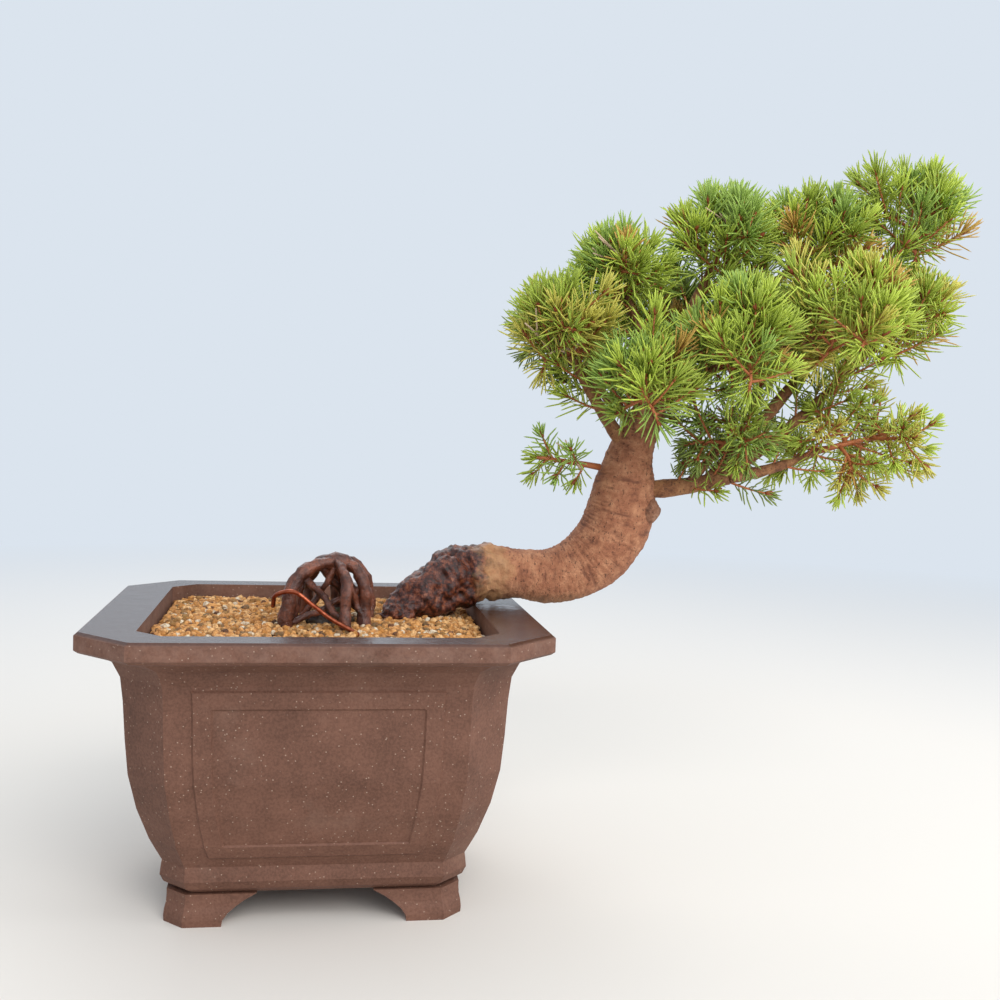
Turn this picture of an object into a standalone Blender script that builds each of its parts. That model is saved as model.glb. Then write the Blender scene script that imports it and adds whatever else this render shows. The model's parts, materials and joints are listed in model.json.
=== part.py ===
"""A leaning white spruce bonsai with an arch of bare roots, in an unglazed pot on four bracket feet.

Metres, +Z up. The feet stand on z = 0. The tree is laid out from the middle of its pot, and an empty
then stands the whole so that the origin is under the middle of its outline.
"""

import math
import random
from dataclasses import dataclass

import bmesh
import bpy
import numpy as np
from mathutils import Vector, noise

GAP = 0.0003  # clearance between neighbouring pieces

# Pot: the middle of its foot from the origin, its rim, and its wall
POT_AT = (-0.1110, -0.0102, 0.0)
RIM_HALF_X = 0.0975
RIM_HALF_Y = 0.0895
RIM_TOP = 0.1265
FOOT_HEIGHT = 0.0140
MOUTH_HALF = 0.0740
MOUTH_CUT = 0.0110
WALL = 0.0085
FLOOR_TOP = 0.0230

# The pot's outline, from the rim down: height, how far in from the rim, length cut off each corner
POT_PROFILE = (
    (0.1265, 0.0015, 0.0225),
    (0.1252, 0.0000, 0.0230),
    (0.1192, 0.0000, 0.0230),
    (0.1178, 0.0016, 0.0228),
    (0.1160, 0.0080, 0.0215),
    (0.1125, 0.0132, 0.0202),
    (0.1060, 0.0162, 0.0190),
    (0.0920, 0.0178, 0.0180),
    (0.0800, 0.0183, 0.0175),
    (0.0650, 0.0196, 0.0168),
    (0.0500, 0.0230, 0.0152),
    (0.0360, 0.0282, 0.0122),
    (0.0262, 0.0330, 0.0105),
    (0.0236, 0.0326, 0.0110),
    (0.0200, 0.0322, 0.0110),
    (0.0165, 0.0338, 0.0105),
    (FOOT_HEIGHT, 0.0370, 0.0095),
)

# Raised frame on each side of the pot: its outer and inner edges, and the rows between them
PANEL_RAISE = 0.0009
PANEL_EDGE = 0.0008
PANEL_OUTER_MARGIN = 0.0108
PANEL_INNER_MARGIN = 0.0193
PANEL_OUTER_Z = (0.0304, 0.1044)
PANEL_INNER_Z = (0.0364, 0.0968)
PANEL_ROWS = (0.0500, 0.0650, 0.0800)

# Bracket foot: outer corner, width of each arm at the top and the bottom, thickness of an arm
FOOT_INSET = 0.0352
FOOT_CUT = 0.0085
FOOT_ARM_TOP = 0.0378
FOOT_ARM_BOTTOM = 0.0245
FOOT_THICK = 0.0130
FOOT_STEPS = 5

# Soil
SOIL_TOP = 0.1190
SOIL_EDGE_DROP = 0.0022
SOIL_EDGE_WIDTH = 0.0120

# Trunk stations: x, y, z and radius, from the ground to the pruned top
TRUNK = (
    (0.0300, 0.0030, 0.1195, 0.0045),
    (0.0370, 0.0070, 0.1245, 0.0078),
    (0.0500, 0.0130, 0.1315, 0.0120),
    (0.0630, 0.0180, 0.1385, 0.0148),
    (0.0770, 0.0200, 0.1420, 0.0135),
    (0.0975, 0.0200, 0.1410, 0.0122),
    (0.1100, 0.0200, 0.1404, 0.0132),
    (0.1220, 0.0195, 0.1434, 0.0146),
    (0.1325, 0.0190, 0.1500, 0.0160),
    (0.1412, 0.0180, 0.1610, 0.0167),
    (0.1456, 0.0170, 0.1740, 0.0166),
    (0.1470, 0.0160, 0.1870, 0.0152),
    (0.1485, 0.0155, 0.2000, 0.0118),
    (0.1535, 0.0155, 0.2140, 0.0092),
    (0.1602, 0.0160, 0.2290, 0.0072),
    (0.1650, 0.0170, 0.2430, 0.0058),
    (0.1692, 0.0180, 0.2560, 0.0048),
)
TRUNK_SIDES = 14
TRUNK_STEPS = 2
TRUNK_ROUGH = 0.0011
BASE_END = 0.085  # the scaly base of the trunk lies before this x
BARK_LUMP = 0.0091  # from one lump of the bark to the next
STUB = ((0.1500, 0.0110, 0.1740, 0.0050), (0.1655, 0.0040, 0.1755, 0.0042))

# Arch of bare roots: where they meet, and the x, y and radius of each root at the soil
ROOT_TOP = (0.0060, -0.0120, 0.1490)
ROOT_SIDES = 6
ROOT_BURL = 0.0048
ROOT_FEET = (
    (-0.0155, -0.0215, 0.0034),
    (-0.0120, -0.0080, 0.0020),
    (0.0110, -0.0310, 0.0024),
    (0.0195, -0.0160, 0.0030),
    (0.0080, 0.0020, 0.0038),
    (-0.0080, 0.0100, 0.0026),
    (0.0225, -0.0020, 0.0024),
)

# Wire that holds the roots down: the places it passes
WIRE_RADIUS = 0.0010
WIRE = (
    (-0.0215, -0.0180, 0.1300),
    (-0.0200, -0.0245, 0.1360),
    (-0.0120, -0.0275, 0.1378),
    (-0.0040, -0.0300, 0.1325),
    (0.0040, -0.0330, 0.1270),
    (0.0120, -0.0362, 0.1230),
    (0.0170, -0.0390, 0.1205),
)

# Needles and twigs
NEEDLE = 0.0200
NEEDLE_PITCH = 0.0058  # along a shoot, from one ring of needles to the next
NEEDLE_BASE = 0.0018
NEEDLE_LEAN = math.radians(52)
NEEDLE_TURN = math.radians(40)  # of each ring of needles from the one before
TWIG_RADIUS = 0.0011
SHOOT_BARE = 0.30  # share of a shoot's length that has no needles
STEM_BARE = 0.45
CLEAR = 0.0006  # least clearance of a needle or a twig
NEEDLE_RADIUS = 0.0008  # half the width of the space that a needle takes up
PULLS = (1.0, 0.85, 0.7, 0.55)  # how far out a shoot is tried, as shares of its full reach
BOUGH_SIDES = 7
BOUGH_STEPS = 7
BOUGH_TIP_RADIUS = 0.0016
SEED = 11


@dataclass(frozen=True)
class Limb:
    """One tapering limb: its parent, the share of the parent's length where it leaves, and its tip."""

    name: str
    parent: str
    leaves: float
    tip: tuple
    rise: float
    radius: float
    tip_radius: float


@dataclass(frozen=True)
class Mass:
    """One mass of foliage: the limb that it continues or leaves, its middle, half sizes and shoots."""

    name: str
    parent: str
    leaves: float
    middle: tuple
    half: tuple
    rise: float
    radius: float
    shoots: int


FORK_LIMB = Limb("bough_main", "trunk", 0.668, (0.1945, 0.0010, 0.1925), -0.0040, 0.0048, 0.0034)

CROWN = (
    Mass("low_left", "trunk", 0.705, (0.113, 0.011, 0.1985), (0.014, 0.006, 0.004), 0.0, 0.0, 1),
    Mass("left", "trunk", 0.745, (0.1085, 0.002, 0.256), (0.017, 0.030, 0.018), -0.003, 0.004, 6),
    Mass("left_back", "trunk", 0.800, (0.121, 0.056, 0.257), (0.022, 0.022, 0.020), -0.003, 0.003, 5),
    Mass("top_left", "trunk", 0.905, (0.138, 0.008, 0.286), (0.018, 0.028, 0.014), 0.004, 0.0032, 5),
    Mass("top", "trunk", 0.985, (0.190, 0.013, 0.304), (0.022, 0.028, 0.020), 0.002, 0.0034, 6),
    Mass("top_right", "trunk", 0.955, (0.242, 0.022, 0.308), (0.024, 0.030, 0.019), -0.004, 0.0032, 6),
    Mass("leader", "bough_main", 0.800, (0.293, 0.018, 0.323), (0.024, 0.018, 0.020), -0.010, 0.0034, 6),
    Mass("right", "bough_main", 0.930, (0.282, 0.010, 0.270), (0.026, 0.032, 0.020), -0.008, 0.003, 6),
    Mass("low_right", "bough_main", 1.000, (0.260, 0.006, 0.212), (0.040, 0.030, 0.020), -0.004, 0.0032, 7),
    Mass("front", "trunk", 0.865, (0.184, -0.034, 0.250), (0.026, 0.022, 0.024), -0.003, 0.003, 6),
    Mass("front_left", "trunk", 0.790, (0.142, -0.028, 0.231), (0.020, 0.020, 0.016), -0.002, 0.0026, 5),
    Mass("front_right", "trunk", 0.930, (0.235, -0.034, 0.264), (0.026, 0.022, 0.022), -0.005, 0.0028, 6),
    Mass("middle", "trunk", 0.900, (0.220, 0.020, 0.260), (0.022, 0.018, 0.016), -0.003, 0.0028, 5),
    Mass("back", "trunk", 0.870, (0.184, 0.070, 0.264), (0.026, 0.024, 0.024), -0.004, 0.0032, 6),
    Mass("back_right", "trunk", 0.940, (0.245, 0.068, 0.262), (0.028, 0.024, 0.024), -0.006, 0.003, 6),
    Mass("low_middle", "bough_main", 0.600, (0.193, 0.000, 0.211), (0.020, 0.024, 0.010), 0.0, 0.0024, 5),
)


def finish(name, colour, roughness, metallic=0.0):
    """A plain surface with the piece's own colour, roughness and metallic value."""
    material = bpy.data.materials.new(name)
    material.use_nodes = True
    shader = material.node_tree.nodes["Principled BSDF"]
    shader.inputs["Base Color"].default_value = (*colour, 1.0)
    shader.inputs["Roughness"].default_value = roughness
    shader.inputs["Metallic"].default_value = metallic
    return material


def new_object(name, bm):
    """An object with the closed mesh that was built in bm, its faces pointing out. bm is freed."""
    mesh = bpy.data.meshes.new(name)
    if bm.calc_volume(signed=True) < 0:
        bmesh.ops.reverse_faces(bm, faces=bm.faces)
    bm.to_mesh(mesh)
    bm.free()
    obj = bpy.data.objects.new(name, mesh)
    bpy.context.scene.collection.objects.link(obj)
    return obj


def take_result(obj):
    """Turn the object's modifiers into its mesh."""
    graph = bpy.context.evaluated_depsgraph_get()
    mesh = bpy.data.meshes.new_from_object(obj.evaluated_get(graph))
    obj.modifiers.clear()
    obj.data = mesh


def keep_largest_shell(obj):
    """Drop loose scraps and fill sealed hollows, by keeping only the shell with the most volume."""
    bm = bmesh.new()
    bm.from_mesh(obj.data)
    bmesh.ops.triangulate(bm, faces=bm.faces)
    shells, seen = [], set()
    for start in bm.verts:
        if start in seen:
            continue
        shell, waiting = set(), [start]
        while waiting:
            vert = waiting.pop()
            if vert not in shell:
                shell.add(vert)
                waiting.extend(edge.other_vert(vert) for edge in vert.link_edges)
        seen |= shell
        shells.append(shell)
    kept = max(shells, key=shell_volume)
    bmesh.ops.delete(bm, geom=[vert for vert in bm.verts if vert not in kept], context="VERTS")
    bm.to_mesh(obj.data)
    bm.free()


def shell_volume(verts):
    """Signed volume inside the faces of one shell."""
    faces = {face for vert in verts for face in vert.link_faces}
    return sum(
        face.verts[0].co.dot(face.verts[1].co.cross(face.verts[2].co)) / 6.0 for face in faces
    )


def fuse(name, objects):
    """One Boolean union of all the objects, which are removed."""
    base, others = objects[0], objects[1:]
    base.name = base.data.name = name
    if others:
        group = bpy.data.collections.new(name + "_parts")
        for other in others:
            group.objects.link(other)
        union = base.modifiers.new("union", "BOOLEAN")
        union.operation = "UNION"
        union.operand_type = "COLLECTION"
        union.collection = group
        union.solver = "EXACT"
        take_result(base)
        for other in others:
            bpy.data.objects.remove(other)
        bpy.data.collections.remove(group)
    keep_largest_shell(base)
    return base


def cut_clear(obj, stations_of_others, sides=TRUNK_SIDES):
    """Cut an object back so that it clears each of the limbs that it meets by the gap."""
    for index, stations in enumerate(stations_of_others):
        wider = stations + np.array((0.0, 0.0, 0.0, GAP / math.cos(math.pi / sides)))
        cutter = new_object(f"clearance_{index}", tube(wider, sides, lengthen=GAP))
        cut = obj.modifiers.new("clearance", "BOOLEAN")
        cut.operation = "DIFFERENCE"
        cut.object = cutter
        cut.solver = "EXACT"
        take_result(obj)
        bpy.data.objects.remove(cutter)
    keep_largest_shell(obj)


def through(stations, steps):
    """A smooth curve through the stations, with this many steps from each to the next."""
    points = np.array(stations, float)
    padded = np.vstack((2 * points[0] - points[1], points, 2 * points[-1] - points[-2]))
    curve = []
    for i in range(1, len(padded) - 2):
        a, b, c, d = padded[i - 1 : i + 3]
        for t in np.arange(steps) / steps:
            bend = (2 * a - 5 * b + 4 * c - d) * t**2 + (3 * b - a - 3 * c + d) * t**3
            curve.append(0.5 * (2 * b + (c - a) * t + bend))
    curve.append(points[-1])
    return np.array(curve)


def bent(start, handle, end, radius, end_radius, steps):
    """A limb's stations along one bend, narrowing evenly from its start to its end."""
    t = np.linspace(0.0, 1.0, steps + 1)[:, None]
    start, handle, end = (np.array(point, float) for point in (start, handle, end))
    points = (1 - t) ** 2 * start + 2 * t * (1 - t) * handle + t**2 * end
    return np.hstack((points, radius + (end_radius - radius) * t))


def frames(points):
    """Two directions across the curve at each of its points, carried along with no twist."""
    along = np.gradient(points, axis=0)
    along /= np.linalg.norm(along, axis=1)[:, None]
    across = np.cross(along[0], (0.0, 1.0, 0.0) if abs(along[0][1]) < 0.9 else (1.0, 0.0, 0.0))
    sideways = []
    for direction in along:
        across = across - direction * across.dot(direction)
        across = across / np.linalg.norm(across)
        sideways.append((across, np.cross(direction, across)))
    return along, sideways


def tube(stations, sides, lengthen=0.0):
    """A closed tube through stations of x, y, z and radius."""
    stations = np.array(stations, float)
    points, radii = stations[:, :3].copy(), stations[:, 3]
    along, sideways = frames(points)
    points[0] -= along[0] * lengthen
    points[-1] += along[-1] * lengthen
    bm = bmesh.new()
    rings = []
    for point, radius, (u, v) in zip(points, radii, sideways):
        angles = [2 * math.pi * k / sides for k in range(sides)]
        places = [point + radius * (u * math.cos(a) + v * math.sin(a)) for a in angles]
        rings.append([bm.verts.new(place) for place in places])
    join_rings(bm, rings)
    return bm


def join_rings(bm, rings):
    """Faces from each ring of points to the next, and a cap at each end."""
    for ring, following in zip(rings, rings[1:]):
        for k in range(len(ring)):
            n = (k + 1) % len(ring)
            bm.faces.new((ring[k], ring[n], following[n], following[k]))
    bm.faces.new(list(reversed(rings[0])))
    bm.faces.new(rings[-1])


def pot_ring(bm, half_x, half_y, cut, z, row="plain"):
    """One level ring of the pot with cut corners. The row says how the raised frame crosses it."""
    raised = {"plain": (0, 0, 0, 0, 0), "bar": (0, 0, 1, 1, 1), "field": (0, 0, 1, 1, 0)}[row]
    ring = []
    for turn in range(4):
        angle = turn * math.pi / 2
        out = Vector((math.sin(angle), -math.cos(angle), 0.0))
        side = Vector((math.cos(angle), math.sin(angle), 0.0))
        to_face = half_y if turn % 2 == 0 else half_x
        crease = (half_x if turn % 2 == 0 else half_y) - cut
        outer, inner = crease - PANEL_OUTER_MARGIN, crease - PANEL_INNER_MARGIN
        marks = (crease, outer, outer - PANEL_EDGE, inner + PANEL_EDGE, inner)
        columns = [(-mark, lift) for mark, lift in zip(marks, raised)]
        columns += [(mark, lift) for mark, lift in zip(marks, raised)][::-1]
        for mark, lift in columns:
            place = out * (to_face + lift * PANEL_RAISE) + side * mark
            ring.append(bm.verts.new((place.x, place.y, z)))
    return ring


def pot_rows():
    """Height and kind of each level of the pot's outside, from the rim down."""
    low, high = PANEL_OUTER_Z
    inner_low, inner_high = PANEL_INNER_Z
    rows = [(z, "plain") for z, _, _ in POT_PROFILE if z > high or z < low]
    rows += [(high, "plain"), (high - PANEL_EDGE, "bar"), (inner_high, "bar")]
    rows += [(inner_high - PANEL_EDGE, "field"), (inner_low + PANEL_EDGE, "field")]
    rows += [(z, "field") for z in PANEL_ROWS]
    rows += [(inner_low, "bar"), (low + PANEL_EDGE, "bar"), (low, "plain")]
    return sorted(rows, reverse=True)


def at_height(z):
    """How far the pot's outside lies in from the rim at a height, and the length cut off its corners."""
    heights, insets, cuts = zip(*reversed(POT_PROFILE))
    return float(np.interp(z, heights, insets)), float(np.interp(z, heights, cuts))


def hollow_levels(clear=0.0):
    """Levels of the pot's inside, from its floor up: half sizes, corner cut and height."""
    levels = []
    for z in (FLOOR_TOP, 0.0500, 0.0900):
        inset, cut = at_height(z)
        inset += WALL + clear
        levels.append((RIM_HALF_X - inset, RIM_HALF_Y - inset, max(cut - 0.004, 0.006), z))
    levels.append((MOUTH_HALF - clear, MOUTH_HALF - clear, MOUTH_CUT, 0.1120))
    levels.append((MOUTH_HALF - clear, MOUTH_HALF - clear, MOUTH_CUT, RIM_TOP))
    return levels


def make_pot():
    """The pot: a wide rim over a cove, four framed sides with cut corners, and a rounded base band."""
    bm = bmesh.new()
    rings = [pot_ring(bm, *level) for level in hollow_levels()]
    for z, row in pot_rows():
        inset, cut = at_height(z)
        rings.append(pot_ring(bm, RIM_HALF_X - inset, RIM_HALF_Y - inset, cut, z, row))
    join_rings(bm, rings)
    pot = new_object("pot", bm)
    pot.data.materials.append(finish("stoneware", (0.150, 0.085, 0.060), 0.75))
    return pot


def foot_ring(bm, z):
    """One level of a bracket foot in the corner at +X, -Y: two arms with a cove at their inner ends."""
    height = FOOT_HEIGHT - GAP
    share = z / height
    arm = FOOT_ARM_BOTTOM + (FOOT_ARM_TOP - FOOT_ARM_BOTTOM) * share**2
    flare = 0.0012 * math.sin(math.pi * min(share + 0.35, 1.0))
    right, front = RIM_HALF_X - FOOT_INSET + flare, RIM_HALF_Y - FOOT_INSET + flare
    plan = (
        (right - arm, front),
        (right - FOOT_CUT, front),
        (right, front - FOOT_CUT),
        (right, front - arm),
        (right - FOOT_THICK, front - arm),
        (right - FOOT_THICK, front - FOOT_THICK),
        (right - arm, front - FOOT_THICK),
    )
    return [bm.verts.new((x, -y, z)) for x, y in plan]


def make_feet():
    """Four bracket feet under the corners of the pot, each the mirror of its neighbour."""
    stoneware = finish("foot_stoneware", (0.160, 0.092, 0.066), 0.78)
    feet = []
    for name, x, y in (
        ("pot_foot_front_right", 1, 1),
        ("pot_foot_front_left", -1, 1),
        ("pot_foot_back_right", 1, -1),
        ("pot_foot_back_left", -1, -1),
    ):
        bm = bmesh.new()
        heights = np.linspace(0.0, FOOT_HEIGHT - GAP, FOOT_STEPS + 1)
        join_rings(bm, [foot_ring(bm, z) for z in heights])
        bmesh.ops.scale(bm, vec=(x, y, 1), verts=bm.verts)
        foot = new_object(name, bm)
        foot.data.materials.append(stoneware)
        feet.append(foot)
    return feet


def make_soil():
    """The filling of granules: it clears the wall of the pot and rises a little to a flat top."""
    bm = bmesh.new()
    levels = [list(level) for level in hollow_levels(GAP)][:-1]
    levels[0][3] += GAP
    half, _, cut, _ = levels[-1]
    levels.append((half, half, cut, SOIL_TOP - SOIL_EDGE_DROP))
    levels.append((half - SOIL_EDGE_WIDTH, half - SOIL_EDGE_WIDTH, cut, SOIL_TOP))
    rings = []
    for half_x, half_y, cut, z in levels:
        x, y = half_x - cut, half_y - cut
        plan = ((-x, -half_y), (x, -half_y), (half_x, -y), (half_x, y))
        plan += tuple((-px, -py) for px, py in plan)
        rings.append([bm.verts.new((px, py, z)) for px, py in plan])
    join_rings(bm, rings)
    soil = new_object("soil", bm)
    soil.data.materials.append(finish("baked_clay_granules", (0.420, 0.230, 0.075), 0.95))
    return soil


def cut_at_soil(obj):
    """Cut off what reaches below the soil's top, and close the cut with a flat face."""
    bm = bmesh.new()
    bm.from_mesh(obj.data)
    bmesh.ops.bisect_plane(
        bm,
        geom=bm.verts[:] + bm.edges[:] + bm.faces[:],
        plane_co=(0.0, 0.0, SOIL_TOP + GAP),
        plane_no=(0.0, 0.0, 1.0),
        clear_inner=True,
    )
    bmesh.ops.holes_fill(bm, edges=bm.edges)
    bm.to_mesh(obj.data)
    bm.free()
    keep_largest_shell(obj)


def make_trunk(stations):
    """The trunk, whole from the soil to its pruned top, with a rough base and one pruned stub."""
    bm = tube(stations, TRUNK_SIDES)
    for vert in bm.verts:
        place = vert.co / BARK_LUMP
        nearest = stations[np.argmin(np.linalg.norm(stations[:, :3] - np.array(vert.co), axis=1))]
        outward = vert.co - Vector(nearest[:3])
        rough = TRUNK_ROUGH * (1.0 if vert.co.x < BASE_END else 0.3)
        if 0.0500 < vert.co.x < 0.2000 and nearest[2] < 0.2500:
            vert.co += outward.normalized() * rough * noise.noise(place)
    trunk = new_object("trunk", bm)
    stub = new_object("stub", tube(STUB, 8))
    fuse("trunk", [trunk, stub])
    cut_at_soil(trunk)
    trunk.data.materials.append(finish("spruce_bark", (0.320, 0.150, 0.090), 0.85))
    return trunk


def make_roots():
    """Bare roots that arch up from the soil and meet in one burl."""
    top = np.array(ROOT_TOP)
    burl_path = (top - (0.004, 0.0, 0.001), top, top + (0.006, 0.0, -0.001))
    radii = (ROOT_BURL * 0.7, ROOT_BURL, ROOT_BURL * 0.8)
    pieces = [new_object("burl", tube(np.column_stack((burl_path, radii)), 8))]
    for index, (x, y, radius) in enumerate(ROOT_FEET):
        over = (x * 1.08, y * 1.08, top[2] + 0.003)
        path = bent(top, over, (x, y, SOIL_TOP + GAP), radius * 0.8, radius, 7)
        path[-1, 2] -= 2 * radius
        pieces.append(new_object(f"root_{index}", tube(path, ROOT_SIDES)))
    roots = fuse("exposed_roots", pieces)
    cut_at_soil(roots)
    roots.data.materials.append(finish("root_bark", (0.200, 0.075, 0.045), 0.6))
    return roots


def make_wire():
    """The bent wire over the roots."""
    curve = bpy.data.curves.new("root_wire", "CURVE")
    curve.dimensions = "3D"
    curve.bevel_depth = WIRE_RADIUS
    curve.bevel_resolution = 2
    curve.use_fill_caps = True
    points = through(WIRE, 3)
    spline = curve.splines.new("POLY")
    spline.points.add(len(points) - 1)
    for place, point in zip(spline.points, points):
        place.co = (*point, 1.0)
    curve.materials.append(finish("copper", (0.400, 0.130, 0.070), 0.35, 1.0))
    wire = bpy.data.objects.new("root_wire", curve)
    bpy.context.scene.collection.objects.link(wire)
    return wire


def along_path(stations, share):
    """The point of a path at a share of its length."""
    steps = np.linalg.norm(np.diff(stations[:, :3], axis=0), axis=1)
    travelled = np.concatenate(((0.0,), np.cumsum(steps))) / steps.sum()
    return np.array([np.interp(share, travelled, stations[:, k]) for k in range(4)])


def limb_path(paths, limb):
    """A limb's stations, from inside its parent to its tip."""
    start = along_path(paths[limb.parent], limb.leaves)[:3]
    tip = np.array(limb.tip)
    handle = (start + tip) / 2 + (0.0, 0.0, limb.rise)
    return bent(start, handle, tip, limb.radius, limb.tip_radius, BOUGH_STEPS)


def make_limb(limb, paths, bark):
    """One limb, cut back where it meets its parent and the limbs made before it."""
    path = limb_path(paths, limb)
    obj = new_object(limb.name, tube(path, BOUGH_SIDES))
    crossed = [paths[name] for name in paths if name != limb.parent and near(path, paths[name])]
    cut_clear(obj, [paths[limb.parent], *crossed])
    obj.data.materials.append(bark)
    paths[limb.name] = path
    return obj


def mass_entry(start, mass):
    """Where the line from a limb's start to the middle of a mass enters the mass."""
    away = np.array(mass.middle) - start
    reach = 1.0 / np.linalg.norm(away / np.array(mass.half))
    return np.array(mass.middle) - away * min(reach * 0.55, 0.9)


def make_limbs(paths):
    """The boughs, each cut back where it meets its parent and the boughs made before it."""
    bark = finish("bough_bark", (0.230, 0.105, 0.060), 0.85)
    limbs = [make_limb(FORK_LIMB, paths, bark)]
    for mass in CROWN:
        if mass.radius:
            entry = mass_entry(along_path(paths[mass.parent], mass.leaves)[:3], mass)
            radii = (mass.radius, BOUGH_TIP_RADIUS)
            limb = Limb("bough_" + mass.name, mass.parent, mass.leaves, entry, mass.rise, *radii)
            limbs.append(make_limb(limb, paths, bark))
    return limbs


def gaps_to(p, q, starts, ends):
    """Least distance from the line p to q to each line of two arrays of ends."""
    first, second, between = q - p, ends - starts, p - starts
    a, e = first @ first, (second * second).sum(1)
    b, c, f = second @ first, between @ first, (second * between).sum(1)
    level = a * e - b * b
    s = np.where(level > 1e-18, (b * f - c * e) / np.where(level > 1e-18, level, 1.0), 0.0).clip(0, 1)
    t = ((b * s + f) / e).clip(0, 1)
    s = ((b * t - c) / a).clip(0, 1)
    return np.linalg.norm(p + first * s[:, None] - (starts + second * t[:, None]), axis=1)


def near(path, other):
    """Whether two limbs touch or almost touch."""
    widest = path[:, 3].max() + 2 * GAP
    for a, b in zip(path, path[1:]):
        gaps = gaps_to(a[:3], b[:3], other[:-1, :3], other[1:, :3])
        if (gaps < widest + np.maximum(other[:-1, 3], other[1:, 3])).any():
            return True
    return False


class Space:
    """What a mass's twigs and needles keep clear of: limbs, other twigs and the neighbours' spaces."""

    def __init__(self):
        self.starts, self.ends, self.radii, self.owners = [], [], [], []

    def add(self, stations, owner):
        for a, b in zip(stations, stations[1:]):
            self.starts.append(a[:3])
            self.ends.append(b[:3])
            self.radii.append(max(a[3], b[3]))
            self.owners.append(owner)

    def free(self, p, q, radius, ignore=()):
        keep = [k for k, owner in enumerate(self.owners) if owner not in ignore]
        if not keep:
            return True
        gaps = gaps_to(p, q, np.array(self.starts)[keep], np.array(self.ends)[keep])
        return bool((gaps > np.array(self.radii)[keep] + radius + CLEAR).all())


def inside_own(point, mass, margin):
    """Whether a point lies nearer to the middle of its own mass than to any other, by a margin."""
    own = np.array(mass.middle)
    for other in CROWN:
        if other is not mass:
            away = np.array(other.middle) - own
            length = np.linalg.norm(away)
            if (point - own) @ away / length > length / 2 - margin:
                return False
    return True


def spread(count, first):
    """Directions spread evenly over a ball, turned so that one of them is the first."""
    golden = math.pi * (3 - math.sqrt(5))
    turn = Vector((0, 0, 1)).rotation_difference(Vector(first))
    directions = []
    for k in range(count):
        z = 1 - 2 * k / max(count - 0.5, 1)
        flat = math.sqrt(max(0.0, 1 - z * z))
        level = Vector((flat * math.cos(golden * k), flat * math.sin(golden * k), z))
        directions.append(np.array(turn @ level))
    return directions


def twig_paths(mass, paths, space, rng):
    """The stem of a mass and its shoots, as (name, stations) pairs."""
    own_limb = "bough_" + mass.name
    middle, half = np.array(mass.middle), np.array(mass.half)
    if mass.radius:
        tip = paths[own_limb][-1][:3]
        heading = tip - paths[own_limb][-2][:3]
        heading /= np.linalg.norm(heading)
        start = tip + heading * GAP
    else:
        station = along_path(paths[mass.parent], mass.leaves)
        heading = (middle - station[:3]) / np.linalg.norm(middle - station[:3])
        start = station[:3] + heading * (station[3] + 2 * GAP)
    end = middle + heading * half * 0.9
    stem = bent(start, start + (middle - start) * 0.6, end, TWIG_RADIUS * 1.5, TWIG_RADIUS * 0.8, 8)
    space.add(stem, mass.name)
    twigs = [(mass.name, stem)]
    for index, direction in enumerate(spread(mass.shoots, heading)[1:]):
        for pull in PULLS:
            tip = middle + half * direction * pull * rng.uniform(0.92, 1.05)
            leave = float(np.clip(0.45 + 0.30 * (direction @ heading) - 0.1 * rng.random(), 0.12, 0.8))
            anchor = along_path(stem, leave)
            handle = anchor[:3] + heading * 0.006 + (tip - anchor[:3]) * 0.45 - (0.0, 0.0, 0.003)
            path = bent(anchor[:3], handle, tip, TWIG_RADIUS, TWIG_RADIUS * 0.7, 6)
            room = all(inside_own(p[:3], mass, p[3] + CLEAR) for p in path[1:])
            clear = all(space.free(a[:3], b[:3], a[3], (mass.name,)) for a, b in zip(path[1:], path[2:]))
            if room and clear:
                owner = f"{mass.name}_{index}"
                space.add(path[1:], owner)
                twigs.append((owner, path))
                break
    return twigs


def rings_for_needles(path, bare):
    """The path cut into short lengths that carry a ring of needles, with plain lengths between."""
    total = np.linalg.norm(np.diff(path[:, :3], axis=0), axis=1).sum()
    shares = list(np.linspace(0.0, bare, 3))
    place = bare * total
    while place + NEEDLE_PITCH < total:
        shares.append((place + NEEDLE_PITCH - NEEDLE_BASE) / total)
        shares.append((place + NEEDLE_PITCH) / total)
        place += NEEDLE_PITCH
    return np.array([along_path(path, share) for share in shares])


def needled_twig(name, path, bare, accept):
    """A three-sided twig with a ring of three needles drawn out of every second length."""
    stations = rings_for_needles(path, bare)
    points, radii = stations[:, :3], stations[:, 3]
    along, sideways = frames(points)
    bm = bmesh.new()
    rings = []
    for level, (point, radius, (u, v)) in enumerate(zip(points, radii, sideways)):
        turn = NEEDLE_TURN * (max(level - 1, 0) // 2)
        angles = [turn + 2 * math.pi * k / 3 for k in range(3)]
        places = [point + radius * (u * math.cos(a) + v * math.sin(a)) for a in angles]
        rings.append([bm.verts.new(place) for place in places])
    join_rings(bm, rings)
    bm.faces.ensure_lookup_table()
    needles = []
    for level in range(3, len(points) - 1, 2):
        reach = level / len(points)
        for k in range(3):
            face = bm.faces[level * 3 + k]
            centre = np.array(face.calc_center_median())
            out = centre - (points[level] + points[level + 1]) / 2
            out /= np.linalg.norm(out)
            lean = NEEDLE_LEAN * (1.15 - 0.55 * reach**2)
            tip = centre + NEEDLE * (out * math.sin(lean) + along[level] * math.cos(lean))
            if accept(centre + out * 0.0012, tip):
                needles.append((face, tip))
    for face, tip in needles:
        made = bmesh.ops.poke(bm, faces=[face])
        made["verts"][0].co = tip
    bm.faces.ensure_lookup_table()
    return new_object(name, bm)


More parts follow.
